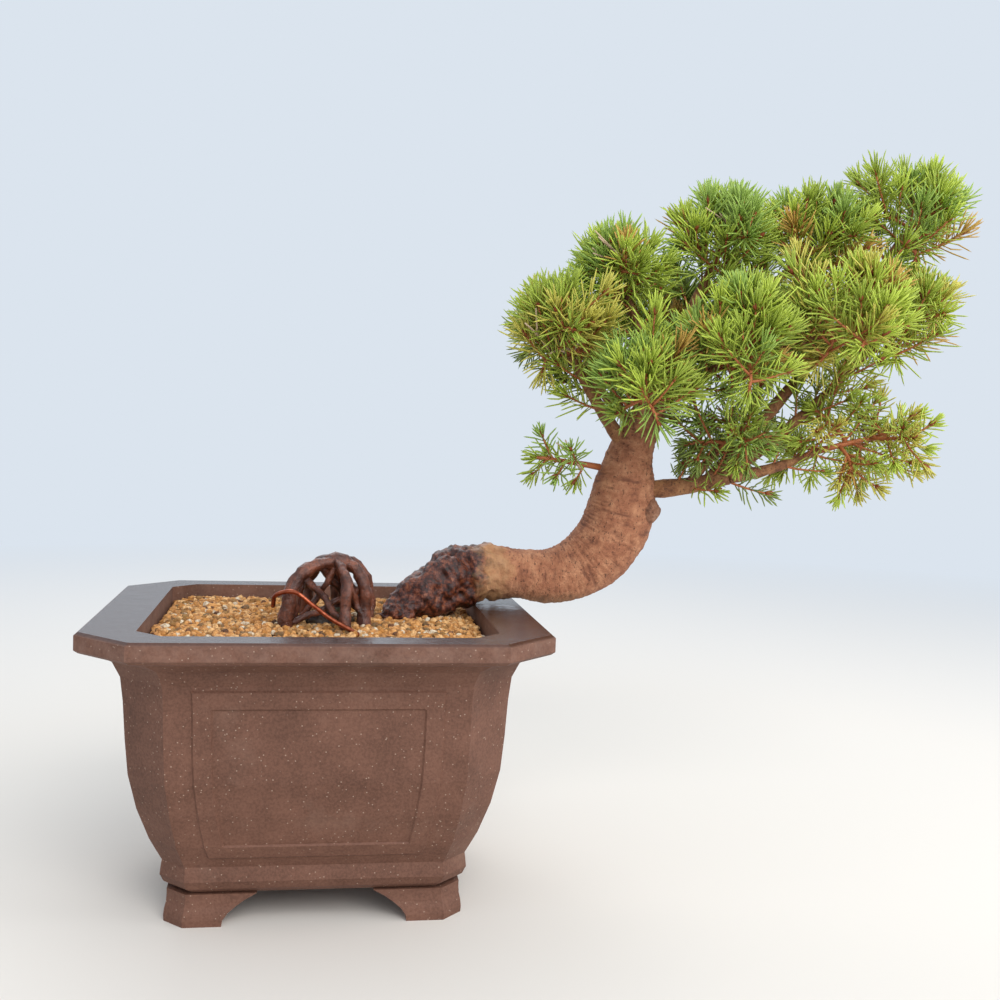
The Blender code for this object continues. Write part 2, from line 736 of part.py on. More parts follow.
def make_foliage(paths):
    """Every mass of foliage: its twigs are laid out first, then needles are added where there is room."""
    green = finish("spruce_needles", (0.190, 0.270, 0.050), 0.55)
    space = Space()
    for name, path in paths.items():
        space.add(path, name)
    rng = random.Random(SEED)
    grown = [(mass, twig_paths(mass, paths, space, rng)) for mass in CROWN]
    masses = []
    for mass, twigs in grown:
        placed = Space()
        pieces = []
        for owner, path in twigs:

            def accept(base, tip, owner=owner, mass=mass, placed=placed):
                inside = inside_own(base, mass, NEEDLE_BASE / 2) and inside_own(tip, mass, CLEAR / 2)
                clear = inside and space.free(base, tip, NEEDLE_RADIUS, (owner,))
                if not clear or not placed.free(base, tip, NEEDLE_RADIUS, (owner,)):
                    return False
                placed.add(np.array(((*base, NEEDLE_RADIUS), (*tip, NEEDLE_RADIUS))), owner)
                return True

            bare = STEM_BARE if owner == mass.name else SHOOT_BARE
            pieces.append(needled_twig(f"twig_{owner}", path, bare, accept))
        foliage = fuse("foliage_" + mass.name, pieces)
        foliage.data.materials.append(green)
        masses.append(foliage)
    return masses


def main():
    for old in list(bpy.data.objects):
        bpy.data.objects.remove(old)
    paths = {"trunk": through(TRUNK, TRUNK_STEPS)}
    objects = [make_pot(), *make_feet(), make_soil(), make_roots(), make_wire(), make_trunk(paths["trunk"])]
    objects += make_limbs(paths)
    objects += make_foliage(paths)
    stand = bpy.data.objects.new("bonsai", None)
    bpy.context.scene.collection.objects.link(stand)
    stand.location = POT_AT
    for obj in objects:
        obj.parent = stand


main()
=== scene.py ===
"""The looks of a leaning white spruce bonsai: stoneware pot, clay granules, bare roots, bark and needles.

Metres, +Z up. Stations and places are laid out from the middle of the pot, as the solids are, and move to
their place in the frame when their mesh is made.
"""

import json
import logging
import math
import random
from collections.abc import Callable
from dataclasses import dataclass, field
from enum import Enum
from functools import partial

import bmesh
import bpy
import numpy as np
from mathutils import Matrix, Vector, noise

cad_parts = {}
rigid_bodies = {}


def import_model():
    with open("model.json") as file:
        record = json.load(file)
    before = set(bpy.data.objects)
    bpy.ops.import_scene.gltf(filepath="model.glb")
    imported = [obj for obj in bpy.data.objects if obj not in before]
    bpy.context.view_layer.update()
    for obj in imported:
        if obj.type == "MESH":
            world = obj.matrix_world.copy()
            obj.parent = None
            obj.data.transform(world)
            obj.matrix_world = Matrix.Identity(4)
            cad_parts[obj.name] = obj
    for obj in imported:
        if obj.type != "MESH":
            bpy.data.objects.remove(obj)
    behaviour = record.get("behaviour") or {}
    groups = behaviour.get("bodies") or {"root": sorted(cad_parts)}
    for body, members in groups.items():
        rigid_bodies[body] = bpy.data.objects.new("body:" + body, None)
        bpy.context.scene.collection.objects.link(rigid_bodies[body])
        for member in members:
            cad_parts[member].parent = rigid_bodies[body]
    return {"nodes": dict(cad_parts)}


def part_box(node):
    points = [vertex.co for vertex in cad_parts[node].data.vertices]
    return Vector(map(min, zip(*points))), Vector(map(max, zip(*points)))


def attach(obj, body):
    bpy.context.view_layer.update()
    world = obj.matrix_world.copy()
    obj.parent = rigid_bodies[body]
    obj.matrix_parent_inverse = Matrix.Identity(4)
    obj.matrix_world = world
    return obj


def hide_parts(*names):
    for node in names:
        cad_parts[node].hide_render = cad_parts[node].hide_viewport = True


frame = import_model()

LOG = logging.getLogger("bonsai")
MM = 0.001
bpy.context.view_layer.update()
POT_LOW, POT_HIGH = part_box("pot")
# The middle of the pot in the frame
POT_AT = np.array(((POT_LOW.x + POT_HIGH.x) / 2, (POT_LOW.y + POT_HIGH.y) / 2, 0.0))
RIM_TOP = POT_HIGH.z
PUDDLE_AT = np.array((0.0835, 0.0060, RIM_TOP))
SOIL_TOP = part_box("soil")[1].z
# The turn from one leaf to the next that never lines up
GOLDEN = math.pi * (3 - math.sqrt(5))
SEED = 11
# Colour of the even light all round
SURROUND = "#DBE4EE"

# The growth rule's sizes, as in the solids
TWIG_RADIUS = 0.0011
SHOOT_BARE = 0.30
STEM_BARE = 0.45
CLEAR = 0.0006
GAP = 0.0003
NEEDLE = 0.0200
PULLS = (1.0, 0.85, 0.7, 0.55)
BOUGH_STEPS = 7
BOUGH_TIP_RADIUS = 0.0016
# Finer twigs that head for this point may leave the space of their own mass
CROWN_HEART = np.array((0.190, 0.010, 0.250))

# Stations of the trunk, from the soil to its pruned top: x, y, z and radius
TRUNK = (
    (0.0300, 0.0030, 0.1195, 0.0045),
    (0.0370, 0.0070, 0.1245, 0.0078),
    (0.0500, 0.0130, 0.1315, 0.0120),
    (0.0630, 0.0180, 0.1385, 0.0148),
    (0.0770, 0.0200, 0.1420, 0.0135),
    (0.0975, 0.0200, 0.1410, 0.0122),
    (0.1100, 0.0200, 0.1404, 0.0132),
    (0.1220, 0.0195, 0.1434, 0.0146),
    (0.1325, 0.0190, 0.1500, 0.0160),
    (0.1412, 0.0180, 0.1610, 0.0167),
    (0.1456, 0.0170, 0.1740, 0.0166),
    (0.1470, 0.0160, 0.1870, 0.0152),
    (0.1485, 0.0155, 0.2000, 0.0118),
    (0.1535, 0.0155, 0.2140, 0.0092),
    (0.1602, 0.0160, 0.2290, 0.0072),
    (0.1650, 0.0170, 0.2430, 0.0058),
    (0.1692, 0.0180, 0.2560, 0.0048),
)
# How far the old bark of the base reaches along X
BASE_END = 0.085
STUB = ((0.1500, 0.0110, 0.1740, 0.0050), (0.1655, 0.0040, 0.1755, 0.0042))
ROOT_TOP = (0.0060, -0.0120, 0.1490)
# Where each bare root enters the soil: x, y and radius
ROOT_FEET = (
    (-0.0155, -0.0215, 0.0034),
    (-0.0120, -0.0080, 0.0020),
    (0.0110, -0.0310, 0.0024),
    (0.0195, -0.0160, 0.0030),
    (0.0080, 0.0020, 0.0038),
    (-0.0080, 0.0100, 0.0026),
    (0.0225, -0.0020, 0.0024),
)
WIRE_RADIUS = 0.0010
WIRE = (
    (-0.0215, -0.0180, 0.1300),
    (-0.0200, -0.0245, 0.1360),
    (-0.0120, -0.0275, 0.1378),
    (-0.0040, -0.0300, 0.1325),
    (0.0040, -0.0330, 0.1270),
    (0.0120, -0.0362, 0.1230),
    (0.0170, -0.0390, 0.1205),
)


class Tint(Enum):
    """Colours of the needles, one dealt to each spray from the tints of its mass; BRIGHT is painted light on
    lit sprays and DEEP painted shade on shaded ones.
    """

    BRIGHT = "#B6C74E"
    MIDDLE = "#A0B145"
    YELLOW = "#C2BA55"
    COOL = "#96B052"
    DEEP = "#7E8E42"
    DYING = "#C09A4C"


class Habit(Enum):
    """How the sprays of a mass grow: up to the light in tufts, or hanging and open like a comb."""

    UPRIGHT = "upright"
    HANGING = "hanging"


@dataclass(frozen=True)
class Mass:
    """One mass of foliage.

    It leaves its parent limb at a share of that limb's length, on a bough of its own that starts at a
    radius and is lifted at its middle by the rise. A mass whose radius is 0 has its stem straight on the
    parent. The middle and half sizes bound its space.
    """

    name: str
    parent: str
    leaves: float
    middle: tuple
    half: tuple
    rise: float
    radius: float
    shoots: int
    tints: tuple
    habit: Habit = Habit.UPRIGHT


@dataclass(frozen=True)
class Twig:
    """One twig: the mass that it belongs to, its stations, and the share of it that bears no needles."""

    mass: Mass
    path: np.ndarray
    bare: float


# The tint sets paint light and shade on the needles: the sets with the bright tint go to the outer, lit
# masses as painted light, and SHADE, with the deep tint, goes to the low, inner and back masses as painted
# shade.
WARM = (Tint.BRIGHT, Tint.YELLOW, Tint.MIDDLE)
PAINTED_LIT = (Tint.BRIGHT, Tint.MIDDLE, Tint.COOL)
SHADE = (Tint.MIDDLE, Tint.DEEP, Tint.COOL)
COMB = Habit.HANGING

CROWN = (
    Mass("low_left", "trunk", 0.705, (0.113, 0.011, 0.1985), (0.014, 0.006, 0.004), 0.0, 0.0, 1, SHADE, COMB),
    Mass("left", "trunk", 0.745, (0.1085, 0.002, 0.256), (0.017, 0.030, 0.018), -0.003, 0.004, 6, WARM),
    Mass("left_back", "trunk", 0.800, (0.121, 0.056, 0.257), (0.022, 0.022, 0.020), -0.003, 0.003, 5, SHADE),
    Mass("top_left", "trunk", 0.905, (0.138, 0.008, 0.286), (0.018, 0.028, 0.014), 0.004, 0.0032, 5, PAINTED_LIT),
    Mass("top", "trunk", 0.985, (0.190, 0.013, 0.304), (0.022, 0.028, 0.020), 0.002, 0.0034, 6, PAINTED_LIT),
    Mass("top_right", "trunk", 0.955, (0.242, 0.022, 0.308), (0.024, 0.030, 0.019), -0.004, 0.0032, 6, PAINTED_LIT),
    Mass("leader", "bough_main", 0.800, (0.293, 0.018, 0.323), (0.024, 0.018, 0.020), -0.010, 0.0034, 6,
         PAINTED_LIT),
    Mass("right", "bough_main", 0.930, (0.282, 0.010, 0.270), (0.026, 0.032, 0.020), -0.008, 0.003, 6, WARM),
    Mass("low_right", "bough_main", 1.000, (0.260, 0.006, 0.212), (0.040, 0.030, 0.020), -0.004, 0.0032, 7,
         WARM, COMB),
    Mass("front", "trunk", 0.865, (0.184, -0.034, 0.250), (0.026, 0.022, 0.024), -0.003, 0.003, 6, PAINTED_LIT),
    Mass("front_left", "trunk", 0.790, (0.142, -0.028, 0.231), (0.020, 0.020, 0.016), -0.002, 0.0026, 5,
         PAINTED_LIT),
    Mass("front_right", "trunk", 0.930, (0.235, -0.034, 0.264), (0.026, 0.022, 0.022), -0.005, 0.0028, 6,
         WARM),
    Mass("middle", "trunk", 0.900, (0.220, 0.020, 0.260), (0.022, 0.018, 0.016), -0.003, 0.0028, 5, SHADE),
    Mass("back", "trunk", 0.870, (0.184, 0.070, 0.264), (0.026, 0.024, 0.024), -0.004, 0.0032, 6, SHADE),
    Mass("back_right", "trunk", 0.940, (0.245, 0.068, 0.262), (0.028, 0.024, 0.024), -0.006, 0.003, 6, PAINTED_LIT),
    Mass("low_middle", "bough_main", 0.600, (0.193, 0.000, 0.211), (0.020, 0.024, 0.010), 0.0, 0.0024, 5,
         SHADE, COMB),
)
# The limb that forks to the right: name, parent, share, tip, rise, radius and tip radius
FORK_LIMB = ("bough_main", "trunk", 0.668, (0.1945, 0.0010, 0.1925), -0.0040, 0.0048, 0.0034)

# Sockets of a Mix node that is set to colours
FACTOR, FIRST, SECOND, MIXED = 0, 6, 7, 2


def linear(code: str) -> tuple[float, float, float, float]:
    """An sRGB hex colour as linear red, green, blue and alpha."""
    levels = [int(code[i : i + 2], 16) / 255 for i in (1, 3, 5)]
    return (*[c / 12.92 if c <= 0.04045 else ((c + 0.055) / 1.055) ** 2.4 for c in levels], 1.0)


def plug(tree: bpy.types.NodeTree, node: bpy.types.Node, inputs: dict) -> None:
    """Set or link a node's inputs.

    Args:
        tree: the material's node tree.
        node: a node in it.
        inputs: socket name or number to a value, or to an output socket that is linked to it.
    """
    for key, value in inputs.items():
        if isinstance(value, bpy.types.NodeSocket):
            tree.links.new(value, node.inputs[key])
        else:
            node.inputs[key].default_value = value


def add_node(tree: bpy.types.NodeTree, kind: str, inputs: dict | None = None, out: int | str = 0,
             stops: tuple = (), **settings: object) -> bpy.types.NodeSocket:
    """Add a node with its settings and links.

    Args:
        tree: the material's node tree.
        kind: the node's type, without its ShaderNode prefix.
        inputs: socket name or number to a value, or to an output socket that is linked to it.
        out: name or number of the output that is given back.
        stops: a ramp's places from 0 to 1, each with its sRGB hex colour.
        **settings: properties of the node.

    Returns:
        The output socket.
    """
    node = tree.nodes.new("ShaderNode" + kind)
    for name, value in settings.items():
        setattr(node, name, value)
    plug(tree, node, inputs or {})
    if stops:
        elements = node.color_ramp.elements
        while len(elements) < len(stops):
            elements.new(0.5)
        for element, (place, code) in zip(elements, stops):
            element.position = place
            element.color = linear(code)
    return node.outputs[out]


def new_material(name: str) -> tuple[bpy.types.Material, bpy.types.NodeTree, bpy.types.Node]:
    """A Principled material to build on.

    Args:
        name: the finish's name.

    Returns:
        The material, its tree and its shader.
    """
    material = bpy.data.materials.new(name)
    material.use_nodes = True
    tree = material.node_tree
    return material, tree, tree.nodes["Principled BSDF"]


@dataclass(frozen=True)
class UnglazedStoneware:
    """Dark brown stoneware, pressed in a mould and fired unglazed, with the top of its rim soaked.

    Sizes are real ones: of the clay's clouds and flecks, the grit, the bloom and dust, and the relief.
    """

    cloud: float = 26 * MM
    clay: tuple = ((0.30, "#51301F"), (0.50, "#64402F"), (0.72, "#754E3C"))
    fleck: float = 1.1 * MM
    flecked: tuple = ((0.35, "#4A2B1F"), (0.62, "#7A5443"))
    grit: float = 2.4 * MM
    bloom: float = 9 * MM
    dust: float = 34 * MM
    pore: float = 1.4 * MM
    pore_depth: float = 0.14 * MM
    dent: float = 11 * MM
    dent_depth: float = 0.25 * MM

    def material(self) -> bpy.types.Material:
        """The stoneware's material.

        Returns:
            The material, which follows the rim's height in the frame.
        """
        # A matt, finely specked skin: the eye sees grit, cloudy clay and dried minerals, and no glaze
        material, tree, shader = new_material("unglazed_stoneware")
        add = partial(add_node, tree)
        place = add("TexCoord", out="Object")
        clouds = add("TexNoise", {"Vector": place, "Scale": 1 / self.cloud, "Detail": 5.0, "Roughness": 0.65})
        flecks = add("TexNoise", {"Vector": place, "Scale": 1 / self.fleck, "Detail": 2.0, "Roughness": 0.6})
        clay = add("ValToRGB", {"Fac": clouds}, stops=self.clay)
        flecked = add("ValToRGB", {"Fac": flecks}, stops=self.flecked)
        body = add("Mix", {FACTOR: 0.30, FIRST: clay, SECOND: flecked}, MIXED, data_type="RGBA")
        # Pale specks of unmelted grit, a little larger than real ones so that they show
        grit = add("TexVoronoi", {"Vector": place, "Scale": 1 / self.grit}, feature="F1")
        specks = add("MapRange", {"Value": grit, "From Min": 0.14, "From Max": 0.09, "To Max": 0.55})
        # Whitish bloom, where hard water dries on the edge of the rim, and thin dust all over
        height = add("SeparateXYZ", {"Vector": place}, "Z")
        over = add("MapRange", {"Value": height, "From Min": RIM_TOP - 9 * MM, "From Max": RIM_TOP - 6 * MM})
        below = add("MapRange", {"Value": height, "From Min": RIM_TOP + 1 * MM, "From Max": RIM_TOP - 2 * MM})
        band = add("Math", {0: over, 1: below}, operation="MULTIPLY")
        dried = add("TexNoise", {"Vector": place, "Scale": 1 / self.bloom, "Detail": 4.0, "Roughness": 0.6})
        dried = add("MapRange", {"Value": dried, "From Min": 0.38, "From Max": 0.66, "To Max": 0.26})
        bloom = add("Math", {0: band, 1: dried}, operation="MULTIPLY")
        dust = add("TexNoise", {"Vector": place, "Scale": 1 / self.dust, "Detail": 6.0, "Roughness": 0.6})
        dust = add("MapRange", {"Value": dust, "From Min": 0.58, "From Max": 0.76, "To Max": 0.22})
        # The level top of the rim is soaked, and water stands on it under the trunk
        rim_skin = {"Value": height, "From Min": RIM_TOP - 1.4 * MM, "From Max": RIM_TOP - 0.6 * MM}
        top = add("MapRange", rim_skin)
        level = add("SeparateXYZ", {"Vector": add("NewGeometry", out="Normal")}, "Z")
        level = add("MapRange", {"Value": level, "From Min": 0.55, "From Max": 0.9})
        soaked = add("Math", {0: top, 1: level}, operation="MULTIPLY")
        darkened = add("Math", {0: soaked, 1: 0.92}, operation="MULTIPLY")
        away = add("VectorMath", {0: place, 1: tuple(PUDDLE_AT + POT_AT)}, "Value", operation="DISTANCE")
        ragged = add("TexNoise", {"Vector": place, "Scale": 1 / (6 * MM), "Detail": 3.0, "Roughness": 0.6})
        shore = add("Math", {0: ragged, 1: 9 * MM, 2: away}, operation="MULTIPLY_ADD")
        puddle = add("MapRange", {"Value": shore, "From Min": 15 * MM, "From Max": 13 * MM})
        puddle = add("Math", {0: soaked, 1: puddle}, operation="MULTIPLY")
        for mask, code in ((specks, "#B9A08C"), (bloom, "#927567"), (dust, "#8F7565"), (darkened, "#2B1009")):
            body = add("Mix", {FACTOR: mask, FIRST: body, SECOND: linear(code)}, MIXED, data_type="RGBA")
        rough = add("Math", {0: soaked, 1: -0.50, 2: 0.72}, operation="MULTIPLY_ADD")
        rough = add("Math", {0: puddle, 1: -0.17, 2: rough}, operation="MULTIPLY_ADD")
        pores = add("TexNoise", {"Vector": place, "Scale": 1 / self.pore, "Detail": 4.0, "Roughness": 0.6})
        dents = add("TexNoise", {"Vector": place, "Scale": 1 / self.dent, "Detail": 2.0, "Roughness": 0.6})
        relief = add("Bump", {"Height": pores, "Distance": self.pore_depth, "Strength": 1.0})
        dented = {"Height": dents, "Distance": self.dent_depth, "Strength": 1.0, "Normal": relief}
        relief = add("Bump", dented)
        plug(tree, shader, {"Base Color": body, "Roughness": rough, "Normal": relief})
        return material


@dataclass(frozen=True)
class BakedClay:
    """Granules of baked volcanic clay, broken and sieved, in one tint."""

    code: str
    damp: str = "#7A4A22"
    patch: float = 1.6 * MM
    pore: float = 0.6 * MM
    pore_depth: float = 0.25 * MM

    def material(self) -> bpy.types.Material:
        """One tint of the granules, darker where it is damp.

        Returns:
            The material.
        """
        # Dusty and rough with open pores, so it never shines
        material, tree, shader = new_material("baked_clay_" + self.code[1:].lower())
        add = partial(add_node, tree)
        place = add("TexCoord", out="Object")
        damp = add("TexNoise", {"Vector": place, "Scale": 1 / self.patch, "Detail": 3.0, "Roughness": 0.6})
        damp = add("MapRange", {"Value": damp, "From Min": 0.4, "From Max": 0.75})
        shades = {FACTOR: damp, FIRST: linear(self.code), SECOND: linear(self.damp)}
        tint = add("Mix", shades, MIXED, data_type="RGBA")
        pores = add("TexNoise", {"Vector": place, "Scale": 1 / self.pore, "Detail": 3.0, "Roughness": 0.6})
        relief = add("Bump", {"Height": pores, "Distance": self.pore_depth, "Strength": 1.0})
        plug(tree, shader, {"Base Color": tint, "Roughness": 0.88, "Normal": relief})
        return material


@dataclass(frozen=True)
class SpruceBark:
    """Spruce bark as it grows: young and tan on limbs, dark on roots, and scaly on an old base."""

    name: str
    light: str
    mid: str
    dark: str
    old_base: bool = False
    roughness: float = 0.80
    patch: float = 7 * MM
    wrinkle: float = 1.2 * MM
    fleck: float = 1.9 * MM
    ash: float = 2.4 * MM
    scale: float = 3.2 * MM
    scales: tuple = ((0.38, "#120502"), (0.49, "#3F170C"), (0.58, "#763D25"), (0.72, "#A56E4C"))
    fibre: float = 0.9 * MM
    fibre_depth: float = 0.30 * MM
    lump: float = 3.0 * MM
    lump_depth: float = 0.8 * MM

    def material(self) -> bpy.types.Material:
        """The bark's material, the same all over unless it has an old base.

        Returns:
            The material.
        """
        # Dry and matt: the eye sees tan patches, ashy spots and fine dark lines across the limb
        material, tree, shader = new_material(self.name)
        add = partial(add_node, tree)
        place = add("TexCoord", out="Object")
        tan = add("TexNoise", {"Vector": place, "Scale": 1 / self.patch, "Detail": 8.0, "Roughness": 0.75})
        stops = ((0.29, self.dark), (0.46, self.mid), (0.66, self.light))
        colour = add("ValToRGB", {"Fac": tan}, stops=stops)
        # Wrinkles run across the limb, which lies along X low down and along Z higher up
        lines = add("Mapping", {"Vector": place, "Scale": (1.0, 0.35, 1.0)})
        lines = add("TexNoise", {"Vector": lines, "Scale": 1 / self.wrinkle, "Detail": 3.0, "Roughness": 0.6})
        lines = add("MapRange", {"Value": lines, "From Min": 0.56, "From Max": 0.66, "To Max": 0.35})
        flecks = add("Mapping", {"Vector": place, "Scale": (1.6, 0.6, 1.0)})
        flecks = add("TexNoise", {"Vector": flecks, "Scale": 1 / self.fleck, "Detail": 3.0, "Roughness": 0.7})
        flecks = add("MapRange", {"Value": flecks, "From Min": 0.59, "From Max": 0.65, "To Max": 0.8})
        ash = add("TexNoise", {"Vector": place, "Scale": 1 / self.ash, "Detail": 4.0, "Roughness": 0.6})
        ash = add("MapRange", {"Value": ash, "From Min": 0.60, "From Max": 0.74, "To Max": 0.45})
        for mask, code in ((lines, self.dark), (flecks, "#3A1E14"), (ash, self.light)):
            colour = add("Mix", {FACTOR: mask, FIRST: colour, SECOND: linear(code)}, MIXED, data_type="RGBA")
        rough = self.roughness
        if self.old_base:
            colour, rough = self.age(add, place, colour)
        fibres = add("TexNoise", {"Vector": place, "Scale": 1 / self.fibre, "Detail": 4.0, "Roughness": 0.6})
        lumps = add("TexNoise", {"Vector": place, "Scale": 1 / self.lump, "Detail": 5.0, "Roughness": 0.7})
        relief = add("Bump", {"Height": fibres, "Distance": self.fibre_depth, "Strength": 1.0})
        lumpy = {"Height": lumps, "Distance": self.lump_depth, "Strength": 1.0, "Normal": relief}
        relief = add("Bump", lumpy)
        plug(tree, shader, {"Base Color": colour, "Roughness": rough, "Normal": relief})
        return material

    def age(self, add: Callable, place: bpy.types.NodeSocket,
            colour: bpy.types.NodeSocket) -> tuple[bpy.types.NodeSocket, bpy.types.NodeSocket]:
        """Painted shade in the grooves of the relief, an olive and darker band low on the trunk's underside,
        the old base's dark scales and the worn edge where they end.

        Args:
            add: adds a node to the bark's tree.
            place: the object's own coordinates.
            colour: the bark's colour so far.

        Returns:
            The colour and the roughness.
        """
        chips = add("TexNoise", {"Vector": place, "Scale": 1 / self.scale, "Detail": 6.0, "Roughness": 0.8})
        scales = add("ValToRGB", {"Fac": chips}, stops=self.scales)
        ragged = add("TexNoise", {"Vector": place, "Scale": 1 / (9 * MM), "Detail": 4.0, "Roughness": 0.7})
        along = add("SeparateXYZ", {"Vector": place}, "X")
        edge = add("Math", {0: ragged, 1: 0.030, 2: along}, operation="MULTIPLY_ADD")
        start = POT_AT[0] + BASE_END + 12 * MM
        old = add("MapRange", {"Value": edge, "From Min": start + 4 * MM, "From Max": start - 3 * MM})
        fresh = {"Value": edge, "From Min": start + 9 * MM, "From Max": start, "To Max": 0.75}
        before = add("MapRange", fresh)
        past = add("MapRange", {"Value": edge, "From Min": start - 10 * MM, "From Max": start})
        worn = add("Math", {0: before, 1: past}, operation="MULTIPLY")
        # Darker in the grooves of the trunk's relief: painted shade, from a point attribute of the trunk.
        crack = add("Attribute", out="Fac", attribute_name="crack")
        crack = add("Math", {0: crack, 1: 0.75}, operation="MULTIPLY")
        height = add("SeparateXYZ", {"Vector": place}, "Z")
        # Olive and darker below a height, low on the trunk's underside.
        low_olive = add("MapRange", {"Value": height, "From Min": 0.1345, "From Max": 0.1285, "To Max": 0.45})
        layers = (
            (crack, linear("#5E3524")),
            (low_olive, linear("#6E5A38")),
            (old, scales),
            (worn, linear("#B98A5E")),
        )
        for mask, layer in layers:
            colour = add("Mix", {FACTOR: mask, FIRST: colour, SECOND: layer}, MIXED, data_type="RGBA")
        return colour, add("Math", {0: old, 1: -0.42, 2: 0.85}, operation="MULTIPLY_ADD")


@dataclass(frozen=True)
class AnnealedCopper:
    """Copper wire that was annealed and has weathered."""

    mottle: float = 3 * MM
    browned: tuple = ((0.35, "#7E3C28"), (0.65, "#B4664A"))

    def material(self) -> bpy.types.Material:
        """The wire's metal.

        Returns:
            The material.
        """
        # Soft, dull and browned, with small brighter rubs
        material, tree, shader = new_material("annealed_copper")
        place = add_node(tree, "TexCoord", out="Object")
        pattern = {"Vector": place, "Scale": 1 / self.mottle, "Detail": 3.0, "Roughness": 0.6}
        tint = add_node(tree, "ValToRGB", {"Fac": add_node(tree, "TexNoise", pattern)}, stops=self.browned)
        plug(tree, shader, {"Base Color": tint, "Metallic": 1.0, "Roughness": 0.38})
        return material


@dataclass(frozen=True)
class PaleFloor:
    """A matt painted floor, which turns into the light all round it from near to far, so no edge shows."""

    code: str = "#D6D0C8"
    near: float = 0.4
    far: float = 1.5

    def material(self) -> bpy.types.Material:
        """The floor's finish.

        Returns:
            The material.
        """
        material, tree, shader = new_material("pale_floor")
        plug(tree, shader, {"Base Color": linear(self.code), "Roughness": 0.8})
        place = add_node(tree, "TexCoord", out="Object")
        away = add_node(tree, "VectorMath", {0: place}, "Value", operation="LENGTH")
        share = add_node(tree, "MapRange", {"Value": away, "From Min": self.near, "From Max": self.far})
        light = add_node(tree, "Emission", {"Color": linear(SURROUND)})
        mixed = add_node(tree, "MixShader", {0: share, 1: shader.outputs["BSDF"], 2: light})
        plug(tree, tree.nodes["Material Output"], {"Surface": mixed})
        return material


@dataclass(frozen=True)
class Living:
    """A needle, twig or bud in one colour, waxy where it lives and dry where it is dead."""

    name: str
    code: str
    roughness: float = 0.5

    def material(self) -> bpy.types.Material:
        """The plain surface, whose wax gives the eye a soft, low highlight.

        Returns:
            The material.
        """
        material, tree, shader = new_material(self.name)
        finish = {"Base Color": linear(self.code), "Roughness": self.roughness, "Specular IOR Level": 0.32}
        plug(tree, shader, finish)
        return material


def joined_mesh(name: str, points: np.ndarray, faces: list, smooth: bool = True) -> bpy.types.Object:
    """One piece from arrays of many small shapes.

    Args:
        name: the piece's name.
        points: places, from the middle of the pot.
        faces: lists of point numbers.
        smooth: whether the faces shade smoothly.

    Returns:
        The piece, riding on the plant's one body.
    """
    mesh = bpy.data.meshes.new(name)
    mesh.from_pydata((np.asarray(points) + POT_AT).tolist(), [], faces)
    if smooth:
        mesh.shade_smooth()
    return mounted(name, mesh)


def mounted(name: str, mesh: bpy.types.Mesh) -> bpy.types.Object:
    """An object for a mesh.

    Args:
        name: the piece's name.
        mesh: its mesh, in the frame.

    Returns:
        The piece, riding on the plant's one body.
    """
    piece = bpy.data.objects.new(name, mesh)
    bpy.context.scene.collection.objects.link(piece)
    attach(piece, "root")
    return piece


def dress(piece: bpy.types.Object, material: bpy.types.Material) -> None:
    """Give a piece its finish, and report it.

    Args:
        piece: a piece of this scene.
        material: its finish.
    """
    piece.data.materials.clear()
    piece.data.materials.append(material)
    LOG.info("%s: %d faces", piece.name, len(piece.data.polygons))


def coat(name: str, material: bpy.types.Material) -> None:
    """Give a solid that shows its finish, and report it.

    Args:
        name: the solid's node.
        material: its finish.
    """
    node = frame["nodes"][name]
    node.data.materials.clear()
    node.data.materials.append(material)
    LOG.info("%s: %s", name, material.name)


def through(stations: tuple, steps: int) -> np.ndarray:
    """A smooth curve through stations.

    Args:
        stations: rows of coordinates, with a radius or without.
        steps: how many steps go from each station to the next.

    Returns:
        The curve's rows.
    """
    points = np.array(stations, float)
    padded = np.vstack((2 * points[0] - points[1], points, 2 * points[-1] - points[-2]))
    curve = []
    for i in range(1, len(padded) - 2):
        a, b, c, d = padded[i - 1 : i + 3]
        for t in np.arange(steps) / steps:
            bend = (2 * a - 5 * b + 4 * c - d) * t**2 + (3 * b - a - 3 * c + d) * t**3
            curve.append(0.5 * (2 * b + (c - a) * t + bend))
    curve.append(points[-1])
    return np.array(curve)


def bent(start: np.ndarray, handle: np.ndarray, end: np.ndarray, radius: float, end_radius: float,
         steps: int) -> np.ndarray:
    """A limb's stations along one bend, narrowing evenly.

    Args:
        start: where it starts.
        handle: the point that pulls its middle aside.
        end: where it ends.
        radius: its radius at the start.
        end_radius: its radius at the end.
        steps: how many lengths it has.

    Returns:
        Rows of x, y, z and radius.
    """
    t = np.linspace(0.0, 1.0, steps + 1)[:, None]
    start, handle, end = (np.array(point, float) for point in (start, handle, end))
    points = (1 - t) ** 2 * start + 2 * t * (1 - t) * handle + t**2 * end
    return np.hstack((points, radius + (end_radius - radius) * t))


def shares_along(stations: np.ndarray) -> np.ndarray:
    """How far along a path each of its stations lies, from 0 to 1."""
    steps = np.linalg.norm(np.diff(stations[:, :3], axis=0), axis=1)
    return np.concatenate(((0.0,), np.cumsum(steps))) / steps.sum()


def along_path(stations: np.ndarray, share: float) -> np.ndarray:
    """The station, with its radius, at a share of a path's length."""
    travelled = shares_along(stations)
    return np.array([np.interp(share, travelled, stations[:, k]) for k in range(4)])


def refined(stations: np.ndarray, steps: int) -> np.ndarray:
    """A path again, in this many even lengths."""
    return np.array([along_path(stations, share) for share in np.linspace(0.0, 1.0, steps + 1)])


def length_of(stations: np.ndarray) -> float:
    """The length of a path."""
    return np.linalg.norm(np.diff(stations[:, :3], axis=0), axis=1).sum()


def unit(vector: np.ndarray) -> np.ndarray:
    """A vector's direction."""
    return vector / np.linalg.norm(vector)


